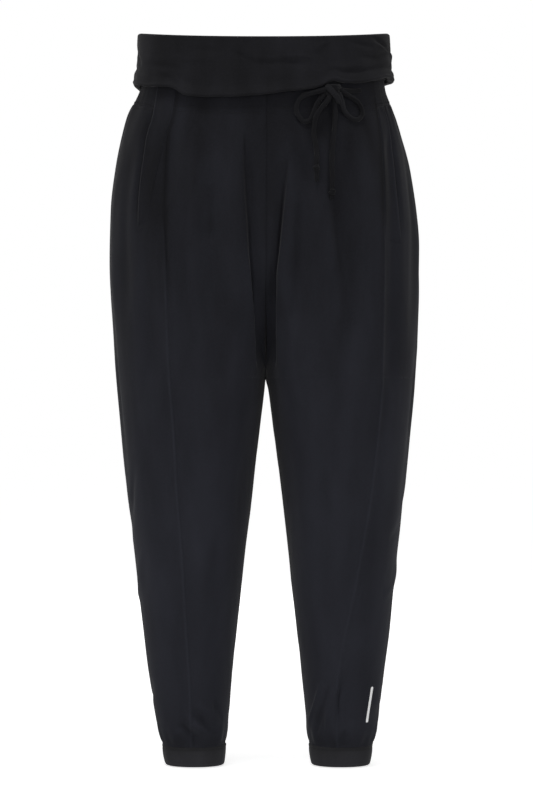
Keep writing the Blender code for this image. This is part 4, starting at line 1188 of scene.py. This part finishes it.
# The cuff's wall: share of the way down and how far it stands out. It dips at its stitches.
CUFF_SECTION = (
    (0.0, -1.4),
    (0.0, -0.2),
    (0.01, 0.25),
    (0.03, 0.45),
    (0.08, 0.5),
    (0.115, 0.4),
    (0.15, 0.15),
    (0.185, 0.4),
    (0.24, 0.5),
    (0.38, 0.5),
    (0.50, 0.4),
    (0.62, 0.4),
    (0.74, 0.3),
    (0.86, 0.15),
    (0.94, -0.15),
    (0.985, -0.6),
    (1.0, -1.3),
    (0.985, -2.2),
    (0.93, -2.8),
    (0.7, -CUFF_WALL),
    (0.4, -CUFF_WALL),
    (0.0, -CUFF_WALL),
)
CUFF_PAINTED_LIGHT = (-0.6, 0.0, 0.35)  # painted shade at its seam, none below the stitches, painted light from the floor at its foot
# The cuff's copy of the jersey is lighter and greyer than the legs'; part of that lightness is painted
# light, for the light the white floor throws up on the ankles.
CUFF_JERSEY = jersey("cuff_black_jersey", "#2a2a2c", "#3e3e43")

for side in ("right", "left"):
    bm, index, turn = turn_ring(len(CUFF_SECTION), CUFF_COLUMNS)
    worn = bm.verts.layers.float.new("worn")
    top = HEM_Z - SEAM_GAP
    rings = [Ring(side, top + (CUFF_FOOT_Z - top) * down, CUFF) for down, _ in CUFF_SECTION]
    grain = {}
    for vert, point, way in zip(bm.verts, index, turn / 360):
        down, out = CUFF_SECTION[point]
        ring, round_leg = rings[point], way % 1
        ripple = math.cos(2 * math.pi * CUFF_RIPPLES * round_leg + 3 * math.sin(9 * round_leg))
        ripple *= RIPPLE_HEIGHT * (out > -2.5) * (1 - 0.8 * abs(2 * down - 1))
        vert.co = ring.points(np.array([round_leg * ring.length]), out + ripple)[0]
        vert[worn] = float(np.interp(down, (0.0, 0.25, 1.0), CUFF_PAINTED_LIGHT))
        grain[vert] = (way * CUFF_GIRTH, -down * CUFF_DEEP - 0.003 * (point > 17))
    set_grain(bm, grain, full_turn=CUFF_GIRTH)
    bmesh.ops.recalc_face_normals(bm, faces=bm.faces)
    cuff = finish_piece(f"ankle_cuff_{side}", bm, CUFF_JERSEY)
    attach(cuff, "root")
    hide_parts(f"cuff_{side}")
    ring = Ring(side, HEM_Z - STITCH_IN, CUFF)
    arc = np.append(np.arange(0, ring.length, STITCH_PITCH), ring.length)
    sewing = [sew(f"stitches_cuff_{side}", [ring.points(arc, np.full(len(arc), 0.3))])]

# ---------------------------------------------------------------- the drawstring
# The tie is a narrow strip of jersey rolled on itself, soft and uneven, with a crease along it.
# It comes out of the casing, is tied in a bow, and each free end is knotted near its tip.
CORD_WIDE, CORD_THICK = 3.0, 1.9  # half its width and half its thickness
CORD_GROOVE = 0.34  # how deep its crease is, as a share of its thickness
# Points of its routes: distance to the wearer's left, height, and how far before the cloth.
KNOT = (86, -6.5, 13.0)
KNOT_SIZE = (15, 8.5, 12)
LOOP_INNER = (
    (78.3, -6.0, 13.5),
    (70, -9, 12.0),
    (58, -12, 8.5),
    (47, -16, 6.0),
    (40.5, -24, 4.6),
    (39, -34, 4.0),
    (42.5, -43, 4.0),
    (49, -48.5, 4.0),
    (56.5, -46.5, 4.0),
    (60.5, -38, 4.2),
    (63.5, -29, 5.0),
    (68, -20.5, 7.0),
    (77.2, -12.2, 10.0),
)
LOOP_OUTER = (
    (93.5, -10.5, 14.0),
    (97, -22, 11.0),
    (100, -33.5, 7.0),
    (106, -40, 4.8),
    (113, -43.5, 4.0),
    (119.5, -42, 3.8),
    (123.5, -35.5, 3.8),
    (122, -27, 4.0),
    (117.5, -20, 5.0),
    (111, -15.5, 7.0),
    (103, -11.5, 10.0),
    (94.8, -7.2, 12.5),
)
END_INNER = (
    (83.4, -12.0, 13.6),
    (77, -23, 12.5),
    (69, -33, 11.5),
    (63.5, -43, 10.5),
    (61.5, -54, 7.0),
    (61, -65, 4.2),
    (63, -76, 4.4),
    (64, -87, 5.2),
)
END_OUTER = (
    (88.1, -12.9, 11.9),
    (88, -25, 8.0),
    (88, -42, 4.6),
    (86.5, -60, 4.0),
    (84.5, -80, 4.0),
    (83.5, -100, 4.4),
    (84, -116, 5.2),
)
LEAD = ((91.5, -4.4, 13.5), (98, -6.0, 10.5), (106, -6.4, 6.5), (114, -5.4, 4.6), (123, -3.6, 4.2))
TAILS = {"inner": (64, -99, -126), "outer": (84, -129, -148)}  # place, and heights of both ends
END_KNOT_DROP, END_KNOT_RADIUS, END_KNOT_HEIGHT = 9.0, 4.2, 8.0
# Strands that show on the bow's knot: points as on the tie's own routes, and half the width.
KNOT_STRANDS = (
    (3.6, ((76.5, -1.5, 12.0), (80, -5.0, 16.5), (85, -10.5, 18.5), (90.5, -17, 17.0), (94, -24, 12.5))),
    (3.2, ((95, -1.5, 11.0), (91, -3.5, 16.0), (86.5, -3.2, 17.3), (81.5, -4.0, 15.5), (78.5, -8, 12.0))),
    (3.0, ((94.5, -9, 12.0), (91, -12.5, 14.5), (86, -13.5, 14.0), (80, -12.5, 12.0), (77.5, -9, 10.0))),
)


def front_point(x, height, stand_off):
    """A point this far in front of the wearer's left front panel, in millimetres."""
    z, y = height, -110.0
    for _ in range(4):
        z = height - waist_dip(y, z)
        ring = ring_at("left", z)
        arc = np.array([ring.arc_at(x)])
        y = ring.points(arc, leg_relief(ring, arc))[0][1] / MM
    return (x, float(y) - stand_off, height)


def smooth_route(before_cloth, steps, after=()):
    """Points in metres on a smooth curve through points given before the cloth, and then through
    others. Its slope at a point is that between the point's neighbours."""
    points = np.array([front_point(*p) for p in before_cloth] + list(after))
    lengths = np.append(0, np.cumsum(np.linalg.norm(np.diff(points, axis=0), axis=1)))
    count = (len(points) - 1) * steps + 1
    places = np.interp(np.linspace(0, len(points) - 1, count), range(len(points)), lengths)
    curves = [curve_at(lengths, ys, np.gradient(ys, lengths), places) for ys in points.T]
    return np.stack(curves, axis=-1) * MM


def roll_cord(bm, grain, route, wide, thick, seed=0.0, painted_paleness=(0.0, 0.0), around=20):
    """A soft rolled strip along a route, in metres: a flat net closed round it, wider than it
    is deep, with an uneven crease along its length and rounded ends. Its paleness at its start and
    halfway along is a painted highlight, where the strand catches the light."""
    points = [Vector(p) for p in route]
    worn = bm.verts.layers.float.get("worn") or bm.verts.layers.float.new("worn")
    net = bmesh.ops.create_grid(bm, x_segments=around, y_segments=len(points) - 1, size=0.5)
    rings = {}
    for vert in net["verts"]:
        rings.setdefault(round((vert.co.y + 0.5) * (len(points) - 1)), []).append(vert)
    travelled = 0.0
    for number, verts in rings.items():
        ahead = points[min(number + 1, len(points) - 1)]
        before = points[max(number - 1, 0)]
        along = (ahead - before).normalized()
        deep = (Vector((0, 1, 0)) - along * along.y).normalized()
        across = along.cross(deep)
        travelled += (points[number] - points[max(number - 1, 0)]).length
        from_end = min(number, len(points) - 1 - number) / 2.5
        end = math.sqrt(1 - (1 - min(1, from_end)) ** 2) * 0.85 + 0.15
        way = travelled / MM
        crease_at = 0.55 * math.sin(way / 19 + seed) + 0.3 * math.sin(way / 7 + 2 * seed)
        swell = 1 + 0.05 * math.sin(way / 4.3 + seed) + 0.04 * math.sin(way / 11)
        for vert in verts:
            turn = 2 * math.pi * (vert.co.x + 0.5)
            crease = math.exp(-(((turn - 1.5 * math.pi - crease_at) / 0.42) ** 2))
            second = math.exp(-(((turn - 1.5 * math.pi - crease_at + 1.25) / 0.35) ** 2))
            radius = end * swell * (1 - CORD_GROOVE * crease - 0.6 * CORD_GROOVE * second)
            offset = across * math.cos(turn) * wide + deep * math.sin(turn) * thick
            grain[vert] = (vert.co.x * 0.016, travelled)
            vert.co = points[number] + offset * (radius * MM)
            vert[worn] = float(np.interp(number, (0, len(points) / 2), painted_paleness))


def finish_cord(name, bm, grain):
    """Joins each net's two long edges, closes its ends and makes the piece."""
    set_grain(bm, grain)
    bmesh.ops.remove_doubles(bm, verts=bm.verts, dist=0.00002)
    bmesh.ops.holes_fill(bm, edges=bm.edges)
    bmesh.ops.recalc_face_normals(bm, faces=bm.faces)
    piece = finish_piece(name, bm, TIE_CLOTH)
    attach(piece, "root")
    return piece


def lay_tie(name, route, thick=CORD_THICK, seed=0.0, painted_paleness=(0.0, 0.0)):
    bm, grain = bmesh.new(), {}
    roll_cord(bm, grain, route, CORD_WIDE, thick, seed, painted_paleness)
    return finish_cord(name, bm, grain)


TIE_CLOTH = jersey("black_jersey_tie", "#131315", "#252528", knit_height=0.1)

bm, grain = bmesh.new(), {}
for number, (half_width, strand) in enumerate(KNOT_STRANDS):
    route = smooth_route(strand, 6)
    # The first strand over the knot gets a painted highlight where it catches the light.
    painted_paleness = (0.15, 0.6) if number == 0 else (0.0, 0.0)
    roll_cord(bm, grain, route, half_width, CORD_THICK, seed=1.7 * number, painted_paleness=painted_paleness)
core = bmesh.ops.create_uvsphere(bm, u_segments=24, v_segments=14, radius=0.5)
middle = Vector(front_point(*KNOT))
for vert in core["verts"]:
    grain[vert] = (math.atan2(vert.co.y, vert.co.x) * 0.006, vert.co.z * 0.02)
    vert.co = (middle + Vector(c * size for c, size in zip(vert.co, KNOT_SIZE))) * MM
bow_knot = finish_cord("knot_of_the_bow", bm, grain)
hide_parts("bow_knot")

lead = smooth_route(LEAD[::-1], 7)
tie_lead = lay_tie("tie_from_casing", lead, thick=2.2, seed=2.0)
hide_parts("tie_lead")

# Each loop gets a painted highlight, at its start or halfway along, where it catches the light.
for name, points, seed, painted_paleness in (
    ("inner", LOOP_INNER, 0.4, (0.0, 0.1)),
    ("outer", LOOP_OUTER, 3.1, (0.7, 0.0)),
):
    route = smooth_route(points, 6)
    loop = lay_tie(f"bow_{name}", route, seed=seed, painted_paleness=painted_paleness)
    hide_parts(f"bow_loop_{name}")

for name, points, seed in (("inner", END_INNER, 5.0), ("outer", END_OUTER, 1.2)):
    x, top, bottom = TAILS[name]
    y = min(front_point(x, z, END_KNOT_RADIUS + 0.6)[1] for z in (top, bottom))
    hang_down = [(x, y, top + (bottom - top) * share) for share in (0, 0.1, 0.5, 1)]
    route = smooth_route(points, 6, hang_down)
    tie = lay_tie(f"tie_{name}", route, seed=seed)
    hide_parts(f"tie_end_{name}")
    bm, grain = bmesh.new(), {}
    lump = bmesh.ops.create_uvsphere(bm, u_segments=28, v_segments=18, radius=1)
    centre = Vector((x, y, top - END_KNOT_DROP))
    for vert in lump["verts"]:
        turn, rise = math.atan2(vert.co.y, vert.co.x), vert.co.z
        wrap = 1 - 0.13 * math.cos(turn + 5.5 * rise + seed) * (1 - rise * rise)
        size = Vector((END_KNOT_RADIUS, END_KNOT_RADIUS, 0.52 * END_KNOT_HEIGHT)) * wrap
        grain[vert] = (turn * 0.005, rise * 0.006)
        vert.co = (centre + Vector(c * s for c, s in zip(vert.co, size))) * MM
    end_knot = finish_cord(f"tie_knot_{name}", bm, grain)
    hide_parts(f"tie_end_knot_{name}")

# ---------------------------------------------------------------- studio
# A white floor and soft light all round, with lamps on every side, as for a catalogue picture.
FLOOR_Z = CUFF_FOOT_Z - 1.2
FLOOR_REACH = 30000

WHITE = (1, 1, 1, 1)
PAPER = new_finish(
    "white_paper",
    {
        "Base Color": linear("#f4f4f4"),
        "Roughness": 1.0,
        "Specular IOR Level": 0.0,
        "Emission Color": WHITE,
        "Emission Strength": 0.64,
    },
)
floor_mesh = bmesh.new()
bmesh.ops.create_circle(floor_mesh, cap_ends=True, segments=64, radius=FLOOR_REACH * MM)
bmesh.ops.translate(floor_mesh, verts=floor_mesh.verts, vec=(0, 0, FLOOR_Z * MM))
floor = finish_piece("floor", floor_mesh, PAPER)
floor.visible_diffuse = False

# Seen straight, the room is plain white; its light is softer, and a little stronger from above.
world = bpy.data.worlds.new("studio")
bpy.context.scene.world = world
world.use_nodes = True
tree = world.node_tree
seen = tree.nodes["Background"]
seen.inputs["Color"].default_value = WHITE
direction = add_node(tree, "TexCoord").outputs["Generated"]
up = add_node(tree, "SeparateXYZ", {0: direction}).outputs["Z"]
upwards = {"Value": up, "From Min": -0.25, "From Max": 0.3, "To Min": 0.28, "To Max": 0.4}
soft_light = add_node(tree, "MapRange", upwards).outputs[0]
around = add_node(tree, "Background", {"Color": WHITE, "Strength": soft_light})
is_seen = add_node(tree, "LightPath").outputs["Is Camera Ray"]
both = add_node(tree, "MixShader", {0: is_seen, 1: around.outputs[0], 2: seen.outputs[0]})
tree.links.new(both.outputs[0], tree.nodes["World Output"].inputs["Surface"])

LAMPS = (  # name, place, size, watts
    ("lamp_left", (-1900, -1000, -400), 800, 9),
    ("lamp_right", (1800, -1400, -500), 800, 8),
    ("lamp_above", (-300, -800, 1800), 700, 13),
    ("lamp_front", (0, -3000, -200), 1500, 20),
    ("lamp_back", (-500, 2900, 300), 1500, 17),
)
for name, place, size, watts in LAMPS:
    lamp = bpy.data.lights.new(name, "AREA")
    lamp.energy = watts
    lamp.size = size * MM
    stand = bpy.data.objects.new(name, lamp)
    stand.location = Vector(place) * MM
    aim = Vector((0, 0, CAMERA_HEIGHT * MM)) - stand.location
    stand.rotation_euler = aim.to_track_quat("-Z", "Y").to_euler()
    bpy.context.scene.collection.objects.link(stand)
bpy.context.scene.view_settings.view_transform = "Standard"
